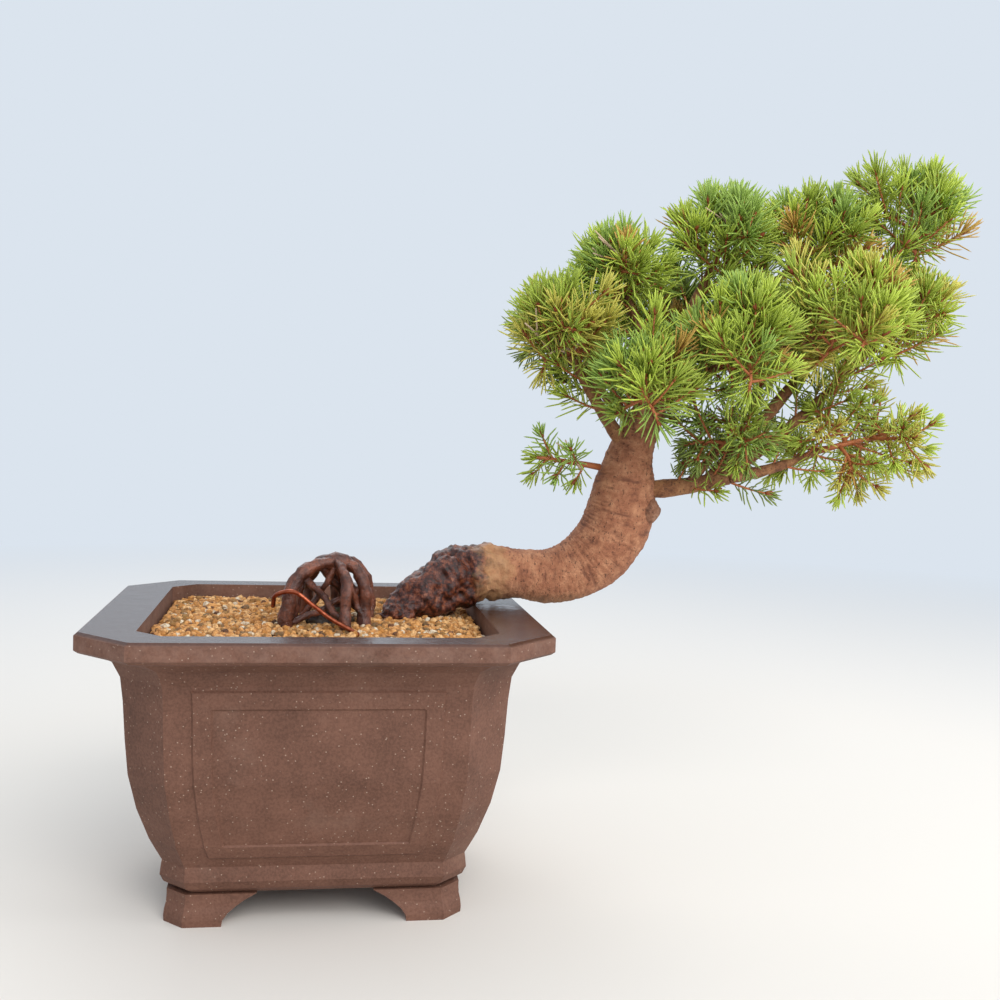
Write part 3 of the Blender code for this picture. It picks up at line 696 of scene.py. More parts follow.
def frames(points: np.ndarray) -> tuple[np.ndarray, np.ndarray, np.ndarray]:
    """Directions along and across a curve, carried along it with no twist.

    Args:
        points: the curve's points.

    Returns:
        At each point, the direction along the curve and two across it.
    """
    along = np.gradient(points, axis=0)
    along /= np.linalg.norm(along, axis=1)[:, None]
    across = np.cross(along[0], (0.0, 1.0, 0.0) if abs(along[0][1]) < 0.9 else (1.0, 0.0, 0.0))
    first, second = [], []
    for direction in along:
        across = unit(across - direction * across.dot(direction))
        first.append(across)
        second.append(np.cross(direction, across))
    return along, np.array(first), np.array(second)


def gaps_to(p: np.ndarray, q: np.ndarray, starts: np.ndarray, ends: np.ndarray) -> np.ndarray:
    """Least distances from one line to many.

    Args:
        p: one end of the line.
        q: its other end.
        starts: one end of each of the other lines.
        ends: their other ends.

    Returns:
        The distance to each.
    """
    first, second, apart = q - p, ends - starts, p - starts
    a, e = first @ first, (second * second).sum(1)
    b, c, f = second @ first, apart @ first, (second * apart).sum(1)
    level = a * e - b * b
    s = np.where(level > 1e-18, (b * f - c * e) / np.where(level > 1e-18, level, 1.0), 0.0).clip(0, 1)
    t = ((b * s + f) / e).clip(0, 1)
    s = ((b * t - c) / a).clip(0, 1)
    return np.linalg.norm(p + first * s[:, None] - (starts + second * t[:, None]), axis=1)


def tubes(paths: list, sides: int) -> tuple[np.ndarray, list]:
    """Closed round tubes, as arrays, because operators would take minutes over the thousands of them.

    Args:
        paths: rows of x, y, z and radius for each tube.
        sides: how many sides each tube has.

    Returns:
        All points, and all faces as lists of point numbers.
    """
    points, faces, base = [], [], 0
    angles = 2 * math.pi * np.arange(sides) / sides
    cosines, sines = np.cos(angles), np.sin(angles)
    ring = range(sides)
    for path in paths:
        _, across, upward = frames(path[:, :3])
        spokes = cosines[None, :, None] * across[:, None] + sines[None, :, None] * upward[:, None]
        points.append((path[:, None, :3] + path[:, None, 3:] * spokes).reshape(-1, 3))
        for level in range(len(path) - 1):
            low = base + level * sides
            pairs = [(low + k, low + (k + 1) % sides) for k in ring]
            faces += [(a, b, b + sides, a + sides) for a, b in pairs]
        faces.append([base + k for k in reversed(ring)])
        faces.append([base + (len(path) - 1) * sides + k for k in ring])
        base += len(path) * sides
    return np.vstack(points), faces


def knobbly(points: np.ndarray, size: float, depth: float) -> np.ndarray:
    """Points pushed about by soft noise, its bumps of this size and depth in millimetres."""
    shifts = [np.array(noise.noise_vector(Vector(point) / (size * MM))) * depth * MM for point in points]
    return points + np.array(shifts)


def repeated(faces: np.ndarray, count: int, corners: int) -> list:
    """The faces of many like shapes whose points follow each other, each with this many corners."""
    return (faces[None] + np.arange(count)[:, None, None] * corners).reshape(-1, 3).tolist()


def clamped(value: float) -> float:
    """A value kept between 0 and 1."""
    return min(max(value, 0.0), 1.0)


@dataclass
class Space:
    """What twigs keep clear of: straight lengths of limbs and twigs, each with its radius and owner."""

    starts: list = field(default_factory=list)
    ends: list = field(default_factory=list)
    radii: list = field(default_factory=list)
    owners: list = field(default_factory=list)

    def add(self, stations: np.ndarray, owner: str) -> None:
        """Fill the space along a path.

        Args:
            stations: the path.
            owner: the name of the limb or twig.
        """
        for a, b in zip(stations, stations[1:]):
            self.starts.append(a[:3])
            self.ends.append(b[:3])
            self.radii.append(max(a[3], b[3]))
            self.owners.append(owner)

    def free(self, p: np.ndarray, q: np.ndarray, radius: float, ignore: str) -> bool:
        """Whether a line clears all that is here.

        Args:
            p: one end of the line.
            q: its other end.
            radius: half its thickness.
            ignore: the owner that it may touch.

        Returns:
            True where nothing else is in its way.
        """
        keep = [k for k, owner in enumerate(self.owners) if owner != ignore]
        gaps = gaps_to(p, q, np.array(self.starts)[keep], np.array(self.ends)[keep])
        return bool((gaps > np.array(self.radii)[keep] + radius + CLEAR).all())


@dataclass
class Growth:
    """The tree's limbs and twigs, grown by the rule that grows the solids and then carried to finer twigs.

    A heading is weighed from the direction along the parent and the one out of it, and then pushed. Side
    twigs start at the first of the side shares and spread over the second. The pulls are the lengths that
    one tries in turn until it fits, each against the side length.
    """

    side_twigs: int = 6
    side_length: float = 19 * MM
    side_radius: float = TWIG_RADIUS * 0.62
    side_shares: tuple = (0.22, 0.66)
    side_bare: float = 0.22
    side_weights: tuple = (0.55, 0.70)
    side_pulls: tuple = (1.6, 1.3, 1.0, 0.8, 0.6)
    upright_push: tuple = (0.14, 0.0, 0.95)
    hanging_push: tuple = (0.14, 0.0, -0.15)
    over_reach: tuple = (2 * MM, 2 * MM, 6 * MM)
    bough_bare: float = 0.42
    bough_pitch: float = 5.5 * MM
    bough_twig_bare: float = 0.25
    bough_weights: tuple = (0.7, 0.85)
    bough_push: tuple = (0.0, 0.0, 0.35)
    wander: float = 0.4
    paths: dict = field(default_factory=dict)
    space: Space = field(default_factory=Space)

    def grow(self) -> list[Twig]:
        """Grow everything.

        Returns:
            Every twig. The limbs are left in paths, by name.
        """
        self.paths = {"trunk": through(TRUNK, 2)}
        self.limb(*FORK_LIMB)
        for mass in CROWN:
            if mass.radius:
                tip = self.entry(along_path(self.paths[mass.parent], mass.leaves)[:3], mass)
                radii = (mass.radius, BOUGH_TIP_RADIUS)
                self.limb("bough_" + mass.name, mass.parent, mass.leaves, tip, mass.rise, *radii)
        for name, path in self.paths.items():
            self.space.add(path, name)
        rng = random.Random(SEED)
        twigs = []
        for twig in [twig for mass in CROWN for twig in self.main_twigs(mass, rng)]:
            twigs.append(twig)
            twigs += self.finer(twig, rng)
        by_name = {"bough_" + mass.name: mass for mass in CROWN}
        for name, path in self.paths.items():
            if name != "trunk":
                twigs += self.on_bough(by_name.get(name, by_name["bough_low_middle"]), path, rng)
        return twigs

    def limb(self, name: str, parent: str, leaves: float, tip: tuple | np.ndarray, rise: float, radius: float,
             tip_radius: float) -> None:
        """Lay one limb from inside its parent to its tip.

        Args:
            name: the limb's name.
            parent: the limb that it leaves.
            leaves: the share of the parent's length where it does.
            tip: where it ends.
            rise: how far the handle of its bend is lifted.
            radius: its radius at the start.
            tip_radius: its radius at the tip.
        """
        start = along_path(self.paths[parent], leaves)[:3]
        tip = np.array(tip)
        handle = (start + tip) / 2 + (0.0, 0.0, rise)
        self.paths[name] = bent(start, handle, tip, radius, tip_radius, BOUGH_STEPS)

    def entry(self, start: np.ndarray, mass: Mass) -> np.ndarray:
        """Where a bough ends inside its mass.

        Args:
            start: where the bough leaves its parent.
            mass: the mass at its tip.

        Returns:
            The point where it ends.
        """
        away = np.array(mass.middle) - start
        reach = 1.0 / np.linalg.norm(away / np.array(mass.half))
        return np.array(mass.middle) - away * min(reach * 0.55, 0.9)

    def inside_own(self, point: np.ndarray, mass: Mass, margin: float) -> bool:
        """Whether a point lies nearer to the middle of its own mass than to any other.

        Args:
            point: the point.
            mass: its own mass.
            margin: by how much it has to be nearer.

        Returns:
            True where it does.
        """
        own = np.array(mass.middle)
        for other in CROWN:
            if other is not mass:
                away = np.array(other.middle) - own
                length = np.linalg.norm(away)
                if (point - own) @ away / length > length / 2 - margin:
                    return False
        return True

    def spread(self, count: int, first: np.ndarray) -> list:
        """Directions spread evenly over a ball.

        Args:
            count: how many.
            first: the way that the first of them points.

        Returns:
            The directions.
        """
        turn = Vector((0, 0, 1)).rotation_difference(Vector(first))
        directions = []
        for k in range(count):
            z = 1 - 2 * k / max(count - 0.5, 1)
            flat = math.sqrt(max(0.0, 1 - z * z))
            level = Vector((flat * math.cos(GOLDEN * k), flat * math.sin(GOLDEN * k), z))
            directions.append(np.array(turn @ level))
        return directions

    def main_twigs(self, mass: Mass, rng: random.Random) -> list[Twig]:
        """The stem of a mass and its shoots, as the solids have them.

        Args:
            mass: the mass.
            rng: the source of its chances.

        Returns:
            The stem and then the shoots.
        """
        middle, half = np.array(mass.middle), np.array(mass.half)
        if mass.radius:
            bough = self.paths["bough_" + mass.name]
            heading = unit(bough[-1][:3] - bough[-2][:3])
            start = bough[-1][:3] + heading * GAP
        else:
            station = along_path(self.paths[mass.parent], mass.leaves)
            heading = unit(middle - station[:3])
            start = station[:3] + heading * (station[3] + 2 * GAP)
        end = middle + heading * half * 0.9
        stem = bent(start, start + (middle - start) * 0.6, end, TWIG_RADIUS * 1.5, TWIG_RADIUS * 0.8, 8)
        self.space.add(stem, mass.name)
        twigs = [Twig(mass, stem, STEM_BARE)]
        for index, direction in enumerate(self.spread(mass.shoots, heading)[1:]):
            for pull in PULLS:
                tip = middle + half * direction * pull * rng.uniform(0.92, 1.05)
                leave = 0.45 + 0.30 * (direction @ heading) - 0.1 * rng.random()
                anchor = along_path(stem, float(np.clip(leave, 0.12, 0.8)))
                handle = anchor[:3] + heading * 0.006 + (tip - anchor[:3]) * 0.45 - (0.0, 0.0, 0.003)
                path = bent(anchor[:3], handle, tip, TWIG_RADIUS, TWIG_RADIUS * 0.7, 6)
                room = all(self.inside_own(p[:3], mass, p[3] + CLEAR) for p in path[1:])
                lengths = zip(path[1:], path[2:])
                clear = all(self.space.free(a[:3], b[:3], a[3], mass.name) for a, b in lengths)
                if room and clear:
                    self.space.add(path[1:], f"{mass.name}_{index}")
                    twigs.append(Twig(mass, path, SHOOT_BARE))
                    break
        return twigs

    def offshoot(self, path: np.ndarray, share: float, number: int, weights: tuple, push: tuple,
                 rng: random.Random) -> tuple[np.ndarray, np.ndarray]:
        """Where a side twig leaves its parent, and its heading.

        Args:
            path: the parent's stations.
            share: how far along the parent it leaves.
            number: its place in the row of twigs round the parent.
            weights: of the directions along the parent and out of it.
            push: what is added to them.
            rng: the source of its chances.

        Returns:
            The point on the parent and the direction.
        """
        along, across, upward = frames(path[:, :3])
        level = min(int(share * (len(path) - 1)), len(path) - 2)
        angle = GOLDEN * number + rng.uniform(-self.wander, self.wander)
        out = across[level] * math.cos(angle) + upward[level] * math.sin(angle)
        heading = along[level] * weights[0] + out * weights[1] + np.array(push)
        return along_path(path, share)[:3], unit(heading)

    def finer(self, twig: Twig, rng: random.Random) -> list[Twig]:
        """Side twigs of one twig, turning up to the light as the real shoots do.

        Args:
            twig: the twig.
            rng: the source of their chances.

        Returns:
            The side twigs that fit in the mass's space, or that grow inward and close up the crown.
        """
        mass = twig.mass
        middle = np.array(mass.middle)
        hanging = mass.habit is Habit.HANGING
        first, span = self.side_shares
        grown = []
        for k in range(self.side_twigs):
            share = first + span * (k + rng.random() * 0.7) / self.side_twigs
            push = self.hanging_push if hanging else self.upright_push
            anchor, heading = self.offshoot(twig.path, share, k, self.side_weights, push, rng)
            for pull in self.side_pulls:
                tip = anchor + heading * self.side_length * pull * rng.uniform(0.8, 1.15)
                from_middle = (tip - middle) / (np.array(mass.half) + self.over_reach)
                inward = np.linalg.norm(tip - CROWN_HEART) < np.linalg.norm(middle - CROWN_HEART)
                fits = np.linalg.norm(from_middle) < 1 or (inward and pull >= 1.0)
                fits = fits or (hanging and pull < (1.0 if mass.radius else 0.7))
                if fits and self.inside_own(tip, mass, CLEAR):
                    handle = anchor + heading * self.side_length * 0.4 * pull - (0.0, 0.0, 0.0012)
                    grown.append(self.side_twig(mass, anchor, handle, tip, self.side_bare))
                    break
        return grown

    def on_bough(self, mass: Mass, path: np.ndarray, rng: random.Random) -> list[Twig]:
        """Twigs that leave a bough before it reaches its mass, where the crown closes up.

        Args:
            mass: the mass whose tints and habit they take.
            path: the bough's stations.
            rng: the source of their chances.

        Returns:
            The twigs.
        """
        rest = 1 - self.bough_bare
        count = int(length_of(path) * rest / self.bough_pitch)
        grown = []
        for k in range(count):
            share = self.bough_bare + rest * (k + 0.5) / count
            anchor, heading = self.offshoot(path, share, k, self.bough_weights, self.bough_push, rng)
            reach = self.side_length * rng.uniform(0.9, 1.3)
            handle = anchor + heading * reach * 0.45 - (0.0, 0.0, 0.0015)
            grown.append(self.side_twig(mass, anchor, handle, anchor + heading * reach, self.bough_twig_bare))
        return grown

    def side_twig(self, mass: Mass, anchor: np.ndarray, handle: np.ndarray, tip: np.ndarray,
                  bare: float) -> Twig:
        """One thin side twig from its anchor to its tip."""
        return Twig(mass, bent(anchor, handle, tip, self.side_radius, self.side_radius * 0.6, 4), bare)


@dataclass
class Needles:
    """Sprays of needles along every twig, joined into one piece for each tint.

    A needle is a three-sided spindle. Each of its rings says how far along it stands, how wide it is
    against the needle's width, and how much of the needle's bow it takes. Angles are degrees from the twig.
    """

    pitch: float = 0.62 * MM
    width: float = 0.90 * MM
    rings: tuple = ((0.0, 0.30, 0.0), (0.45, 0.50, 1.0), (0.86, 0.42, 0.35))
    tuft: int = 12
    tuft_share: float = 0.04
    tuft_angles: tuple = (4, 38)
    open_angle: float = 66
    closing: float = 30
    unevenness: float = 8
    lengths: tuple = (0.60, 0.95)
    bow: float = 0.09
    dying_share: float = 0.03
    upright_lift: float = 0.20
    hanging_lift: float = -0.10
    hanging_density: float = 0.85
    hanging_length: float = 0.68

    def build(self, twigs: list[Twig]) -> None:
        """Make one piece for each tint.

        Args:
            twigs: the twigs as Growth gives them.
        """
        rng = np.random.default_rng(SEED)
        by_tint = {tint: [] for tint in Tint}
        for twig in twigs:
            # Each spray's tint comes from its mass's set, which paints light or shade by where the mass sits.
            tint = twig.mass.tints[int(rng.integers(len(twig.mass.tints)))]
            if rng.random() < self.dying_share:
                tint = Tint.DYING
            by_tint[tint].append(self.spray(twig, rng))
        for tint, sprays in by_tint.items():
            if sprays:
                points = np.vstack(sprays)
                faces = repeated(self.needle_faces(), *points.shape[:2])
                piece = joined_mesh("needles_" + tint.name.lower(), points.reshape(-1, 3), faces)
                finish = Living("spruce_needle_" + tint.name.lower(), tint.value, 0.45)
                dress(piece, finish.material())

    def needle_faces(self) -> np.ndarray:
        """The faces of one needle, closed at its foot and drawn to a point.

        Returns:
            Rows of three corner numbers.
        """
        last = 3 * len(self.rings)
        faces = [(2, 1, 0)]
        for k in range(3):
            n = (k + 1) % 3
            for row in range(0, last - 3, 3):
                faces.append((row + k, row + n, row + n + 3))
                faces.append((row + k, row + n + 3, row + k + 3))
            faces.append((last - 3 + k, last - 3 + n, last))
        return np.array(faces)

    def spray(self, twig: Twig, rng: np.random.Generator) -> np.ndarray:
        """The needles of one twig, closing up towards its tip, with a tuft at its end.

        Args:
            twig: the twig.
            rng: the source of their chances.

        Returns:
            An array of needles by corners by three.
        """
        hanging = twig.mass.habit is Habit.HANGING
        leafy = 1 - twig.bare
        count = int(length_of(twig.path) * leafy / self.pitch * (self.hanging_density if hanging else 1.0))
        reach = (np.arange(count) + rng.random(count)) / max(count, 1)
        reach = np.concatenate((reach, 1 - self.tuft_share + self.tuft_share * rng.random(self.tuft)))
        number = len(reach)
        # Each needle's place, twig radius and three directions, from the twig's own stations
        travelled = shares_along(twig.path)
        stations = np.hstack((twig.path, *frames(twig.path[:, :3])))
        rows = np.stack([np.interp(twig.bare + leafy * reach, travelled, column) for column in stations.T], 1)
        middle, radius, forward, across, upward = np.split(rows, (3, 4, 7, 10), 1)
        turn = GOLDEN * np.arange(number) + rng.normal(0, 0.25, number)
        out = across * np.cos(turn)[:, None] + upward * np.sin(turn)[:, None]
        lean = self.open_angle - self.closing * reach**1.5 + rng.normal(0, self.unevenness, number)
        lean = np.radians(lean)
        lean[count:] = np.radians(rng.uniform(*self.tuft_angles, self.tuft))
        heading = out * np.sin(lean)[:, None] + forward * np.cos(lean)[:, None]
        heading += (0.0, 0.0, self.hanging_lift if hanging else self.upright_lift)
        heading /= np.linalg.norm(heading, axis=1)[:, None]
        length = NEEDLE * rng.uniform(*self.lengths, number) * (0.70 + 0.30 * np.sin(np.pi * reach))
        length *= self.hanging_length if hanging else 1.0
        return self.spindles(middle + out * radius * 0.6, heading, length, rng)

    def spindles(self, start: np.ndarray, heading: np.ndarray, length: np.ndarray,
                 rng: np.random.Generator) -> np.ndarray:
        """The corners of many needles.

        Args:
            start: where each needle leaves its twig, a little under the bark.
            heading: the direction of each.
            length: the length of each.
            rng: the source of their bows.

        Returns:
            An array of needles by corners by three.
        """
        side = np.cross(heading, (0.31, 0.17, 0.93))
        side /= np.linalg.norm(side, axis=1)[:, None]
        other = np.cross(heading, side)
        bow = other * (length * rng.uniform(-self.bow, self.bow, len(length)))[:, None]
        rows = []
        for share, wide, bowed in self.rings:
            centre = start + heading * (length * share)[:, None] + bow * bowed
            for k in range(3):
                angle = 2 * math.pi * k / 3
                ray = side * math.cos(angle) + other * math.sin(angle)
                rows.append(centre + ray * self.width * wide)
        rows.append(start + heading * length[:, None])
        return np.stack(rows, 1)


@dataclass
class Twigs:
    """The bare wood of the crown: every twig, its buds and a few dead twigs, each kind joined into one piece.

    A bud's outline says how far along it and how wide it is, both against its radius.
    """

    sides: int = 6
    bud_radius: float = 1.05 * MM
    bud_counts: tuple = (1, 1, 3)
    bud_outline: tuple = ((-0.4, 0.55), (0.5, 1.0), (1.6, 0.9), (2.6, 0.5), (3.1, 0.12))
    dead_count: int = 16
    dead_masses: tuple = ("left", "top_left", "front_left", "top", "low_middle", "low_left")

    def build(self, twigs: list[Twig]) -> bpy.types.Object:
        """Make the pieces.

        Args:
            twigs: the twigs as Growth gives them.

        Returns:
            The piece of the living twigs.
        """
        points, faces = tubes([refined(twig.path, 5) for twig in twigs], self.sides)
        wood = joined_mesh("twigs", points, faces)
        dress(wood, Living("young_spruce_twig", "#A9633C", 0.6).material())
        self.buds(twigs)
        self.dead(twigs)
        return wood

    def buds(self, twigs: list[Twig]) -> None:
        """One or three red-brown winter buds at the tip of each twig.

        Args:
            twigs: the twigs.
        """
        rng = random.Random(SEED + 1)
        paths = []
        for twig in twigs:
            tip = twig.path[-1, :3]
            heading = unit(tip - twig.path[-2, :3])
            for k in range(rng.choice(self.bud_counts)):
                lean = np.array([rng.uniform(-0.55, 0.55) for _ in range(3)]) * (k > 0)
                aim = unit(heading + lean)
                size = self.bud_radius * rng.uniform(0.8, 1.25)
                rows = [(*(tip + aim * size * share), size * wide) for share, wide in self.bud_outline]
                paths.append(np.array(rows))
        points, faces = tubes(paths, self.sides)
        piece = joined_mesh("buds", points, faces)
        dress(piece, Living("winter_bud_scales", "#8A4527", 0.5).material())

    def dead(self, twigs: list[Twig]) -> None:
        """Bare pale twigs that died inside the crown, each forked once.

        Args:
            twigs: the living twigs that they stand among.
        """
        rng = random.Random(SEED + 2)
        inner = [twig.path for twig in twigs if twig.mass.name in self.dead_masses]
        paths = []
        for _ in range(self.dead_count):
            anchor = along_path(rng.choice(inner), rng.uniform(0.1, 0.5))[:3]
            aim = unit(np.array((rng.uniform(-1, 0.3), rng.uniform(-1.0, 0.4), rng.uniform(-0.2, 0.9))))
            tip = anchor + aim * rng.uniform(14, 26) * MM
            bend = (anchor + tip) / 2 + np.array([rng.uniform(-2, 2) * MM for _ in range(3)])
            main = bent(anchor, bend, tip, 0.75 * MM, 0.35 * MM, 5)
            fork = along_path(main, 0.55)[:3]
            side = aim + np.array([rng.uniform(-0.8, 0.8) for _ in range(3)])
            paths += [main, bent(fork, fork + side * 4 * MM, fork + side * 9 * MM, 0.5 * MM, 0.28 * MM, 4)]
        points, faces = tubes(paths, self.sides)
        piece = joined_mesh("dead_twigs", points, faces)
        dress(piece, Living("weathered_dead_wood", "#C9AE92", 0.85).material())


@dataclass
class Trunk:
    """The trunk with its bark in relief: deep plates on the old base, and fine wrinkles across the rest."""

    sides: int = 72
    steps: int = 30
    plate: float = 5.5 * MM
    plate_depth: float = 2.5 * MM
    fade: float = 16 * MM
    wrinkle: float = 1.5 * MM
    wrinkle_depth: float = 0.34 * MM
    swelling: float = 14 * MM
    swelling_depth: float = 0.9 * MM
    most: float = 1.4 * MM
    stub_sides: int = 28
    stub_fullness: float = 1.25
    stub_end: tuple = (1.05, 0.86, 0.42)

    def build(self) -> None:
        """Make the trunk, let it stand for its solid, and add the stub."""
        path = through(TRUNK, self.steps)
        points, faces = tubes([path], self.sides)
        points, groove_shades = self.relief(points, path)
        trunk = joined_mesh("trunk_bark", points, faces)
        trunk.data.attributes.new("crack", "FLOAT", "POINT").data.foreach_set("value", groove_shades)
        bark = SpruceBark("spruce_bark", "#B8825F", "#955E41", "#5E3626", old_base=True)
        dress(trunk, bark.material())
        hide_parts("trunk")
        self.stub()

    def relief(self, points: np.ndarray, path: np.ndarray) -> tuple[np.ndarray, np.ndarray]:
        """Push each point out or in by the bark's pattern.

        Args:
            points: the smooth trunk's points, ring by ring.
            path: its stations.

        Returns:
            The points, and how much painted shade each of them gets in the grooves, from 0 to 1.
        """
        lengths = np.linalg.norm(np.diff(path[:, :3], axis=0), axis=1)
        travelled = np.concatenate(((0.0,), np.cumsum(lengths)))
        moved = points.copy()
        groove_shades = np.zeros(len(points), np.float32)
        for index, point in enumerate(points):
            level, side = divmod(index, self.sides)
            lift, groove_shades[index] = self.bark_at(point, travelled[level], 2 * math.pi * side / self.sides)
            moved[index] = point + unit(point - path[level, :3]) * lift
        return moved, groove_shades

    def bark_at(self, point: np.ndarray, travelled: float, turn: float) -> tuple[float, float]:
        """The bark's pattern at one point.

        Args:
            point: the point.
            travelled: how far up the trunk it is.
            turn: its angle round the trunk.

        Returns:
            How far the bark stands out there, and how deep in a crack it is, from 0 to 1.
        """
        spot = Vector(point)
        old = clamped((BASE_END + self.fade / 2 - point[0]) / self.fade)
        skewed = spot + noise.noise_vector(spot / (6 * MM)) * 4 * MM
        cells, _ = noise.voronoi(skewed / self.plate)
        plates = min(cells[1] - cells[0], 0.5) - 0.25
        rough = noise.fractal(spot / (self.plate * 1.6), 1.0, 2.0, 3)
        line = Vector((travelled / self.wrinkle, math.cos(turn) * 1.6, math.sin(turn) * 1.6))
        fine = noise.noise(line) + 0.5 * noise.noise(line * 2.1)
        patch = noise.noise(spot / (8 * MM)) + 0.35
        # Painted shade where the fine wrinkles sink deepest, in patches.
        crack = clamped((-fine - 0.18) * 3.2) * clamped(patch * 1.6)
        swell = noise.noise(spot / self.swelling) * self.swelling_depth
        lift = old * self.plate_depth * (plates * 0.8 + rough * 1.5)
        lift += (1 - old) * (self.wrinkle_depth * fine + swell * 0.6)
        return min(lift, self.most), crack

    def stub(self) -> None:
        """The stub of a pruned branch, healed over into a rounded knob of bark."""
        rows = refined(np.array(STUB), 9)[:8]
        rows[-3:, 3] *= self.stub_end
        rows[:, 3] *= self.stub_fullness
        points, faces = tubes([rows], self.stub_sides)
        stub = joined_mesh("pruned_stub", knobbly(points, 3.0, 1.1), faces)
        dress(stub, SpruceBark("stub_bark", "#A67C62", "#7C5038", "#3A2015").material())


@dataclass
class Boughs:
    """The boughs, each one tapering limb with a little bark relief and swollen where twigs once grew."""

    sides: int = 16
    steps: int = 26
    swelling: float = 0.10
    bark: float = 0.15 * MM

    def build(self, paths: dict) -> None:
        """Make every bough, as one piece that stands for their solids.

        Args:
            paths: the limbs' stations by name, as Growth lays them.
        """
        names = [name for name in paths if name != "trunk"]
        rng = random.Random(SEED + 3)
        rows = []
        for name in names:
            path = refined(paths[name], self.steps)
            for level in range(1, len(path)):
                knot = Vector((level * 0.55, rng.random() * 0.4, len(rows) * 3.1))
                path[level, 3] *= 1 + self.swelling * noise.noise(knot)
            path[:, 3] += self.bark
            rows.append(path)
        points, faces = tubes(rows, self.sides)
        piece = joined_mesh("boughs", knobbly(points, 2.2, 0.22), faces)
        dress(piece, SpruceBark("bough_bark", "#A97A50", "#835433", "#4E2C1A").material())
        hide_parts(*names)


@dataclass
class Roots:
    """The arch of bare roots, wet and dark, with the wire that holds them.

    The knuckle's rows are x and z from the top of the arch, and a radius.
    """

    sides: int = 18
    steps: int = 22
    thin_roots: int = 11
    knuckle: tuple = (
        (-0.006, -0.002, 0.0028),
        (-0.003, 0.0, 0.0040),
        (0.0, 0.0008, 0.0046),
        (0.004, 0.0, 0.0042),
        (0.007, -0.002, 0.0030),
    )
    wobble: float = 1.9 * MM
    unevenness: float = 0.28
    core_half: tuple = (11.5 * MM, 8.0 * MM, 8.5 * MM)
    core_lumps: float = 1.8 * MM
    core_at: tuple = (0.004, -0.010, SOIL_TOP + 0.001)

    def build(self) -> None:
        """Make the roots, the lump under them and the wire, and let them stand for their solids."""
        points, faces = tubes(self.paths(), self.sides)
        piece = joined_mesh("bare_roots", knobbly(points, 2.0, 0.55), faces)
        dress(piece, SpruceBark("wet_root_bark", "#864C34", "#4E2719", "#1A0805", roughness=0.36).material())
        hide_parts("exposed_roots")
        self.damp_core()
        route = through(WIRE, 10)
        route = np.column_stack((route, np.full(len(route), WIRE_RADIUS)))
        points, faces = tubes([route], 14)
        wire = joined_mesh("root_tie_wire", points, faces)
        dress(wire, AnnealedCopper().material())
        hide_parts("root_wire")

    def paths(self) -> list:
        """The knuckle on top, the main roots from it to their feet, and thin roots across them.

        Returns:
            Each root's rows of x, y, z and radius.
        """
        top = np.array(ROOT_TOP)
        rows = [np.array([(*(top + (x, 0.0, z)), radius) for x, z, radius in self.knuckle])]
        for x, y, radius in ROOT_FEET:
            over = (x * 1.08, y * 1.08, top[2] + 0.003)
            rows.append(bent(top, over, (x, y, SOIL_TOP - 2 * MM), radius * 0.8, radius * 1.05, self.steps))
        rng = random.Random(SEED + 5)
        mains = rows[1:]
        for _ in range(self.thin_roots):
            start = along_path(rng.choice(mains), rng.uniform(0.05, 0.5))[:3]
            end = along_path(rng.choice(mains), rng.uniform(0.8, 1.0))[:3]
            middle = (start + end) / 2 + np.array([rng.uniform(-3.5, 3.5) * MM for _ in range(3)])
            radii = (rng.uniform(1.2, 2.0) * MM, rng.uniform(0.9, 1.4) * MM)
            rows.append(bent(start, middle, end, *radii, self.steps))
        for number, path in enumerate(rows[1:]):
            wobble = [noise.noise_vector(Vector(p[:3]) / (8 * MM) + Vector((number, 0, 0))) for p in path]
            path[2:, :3] += np.array(wobble)[2:] * self.wobble
            levels = [Vector((level * 0.45, number * 3.3, 0)) for level in range(len(path))]
            path[:, 3] *= [1 + self.unevenness * noise.noise(level) for level in levels]
        return rows

    def damp_core(self) -> None:
        """A near-black lump of bark in the gaps under the arch of roots, which paints their shade."""
        bm = bmesh.new()
        bmesh.ops.create_icosphere(bm, subdivisions=5, radius=1.0)
        bmesh.ops.scale(bm, vec=self.core_half, verts=bm.verts)
        for vert in bm.verts:
            swell = noise.fractal(vert.co / (6 * MM), 0.9, 2.0, 4)
            vert.co += vert.co.normalized() * swell * self.core_lumps
        bmesh.ops.translate(bm, vec=Vector(self.core_at) + Vector(POT_AT), verts=bm.verts)
        mesh = bpy.data.meshes.new("damp_core")
        bm.to_mesh(mesh)
        bm.free()
        mesh.shade_smooth()
        # Near-black bark colours paint the shade under the arch of roots.
        bark = SpruceBark("mossy_wet_root", "#4C4526", "#2B1A12", "#100705", roughness=0.4)
        dress(mounted("damp_core", mesh), bark.material())


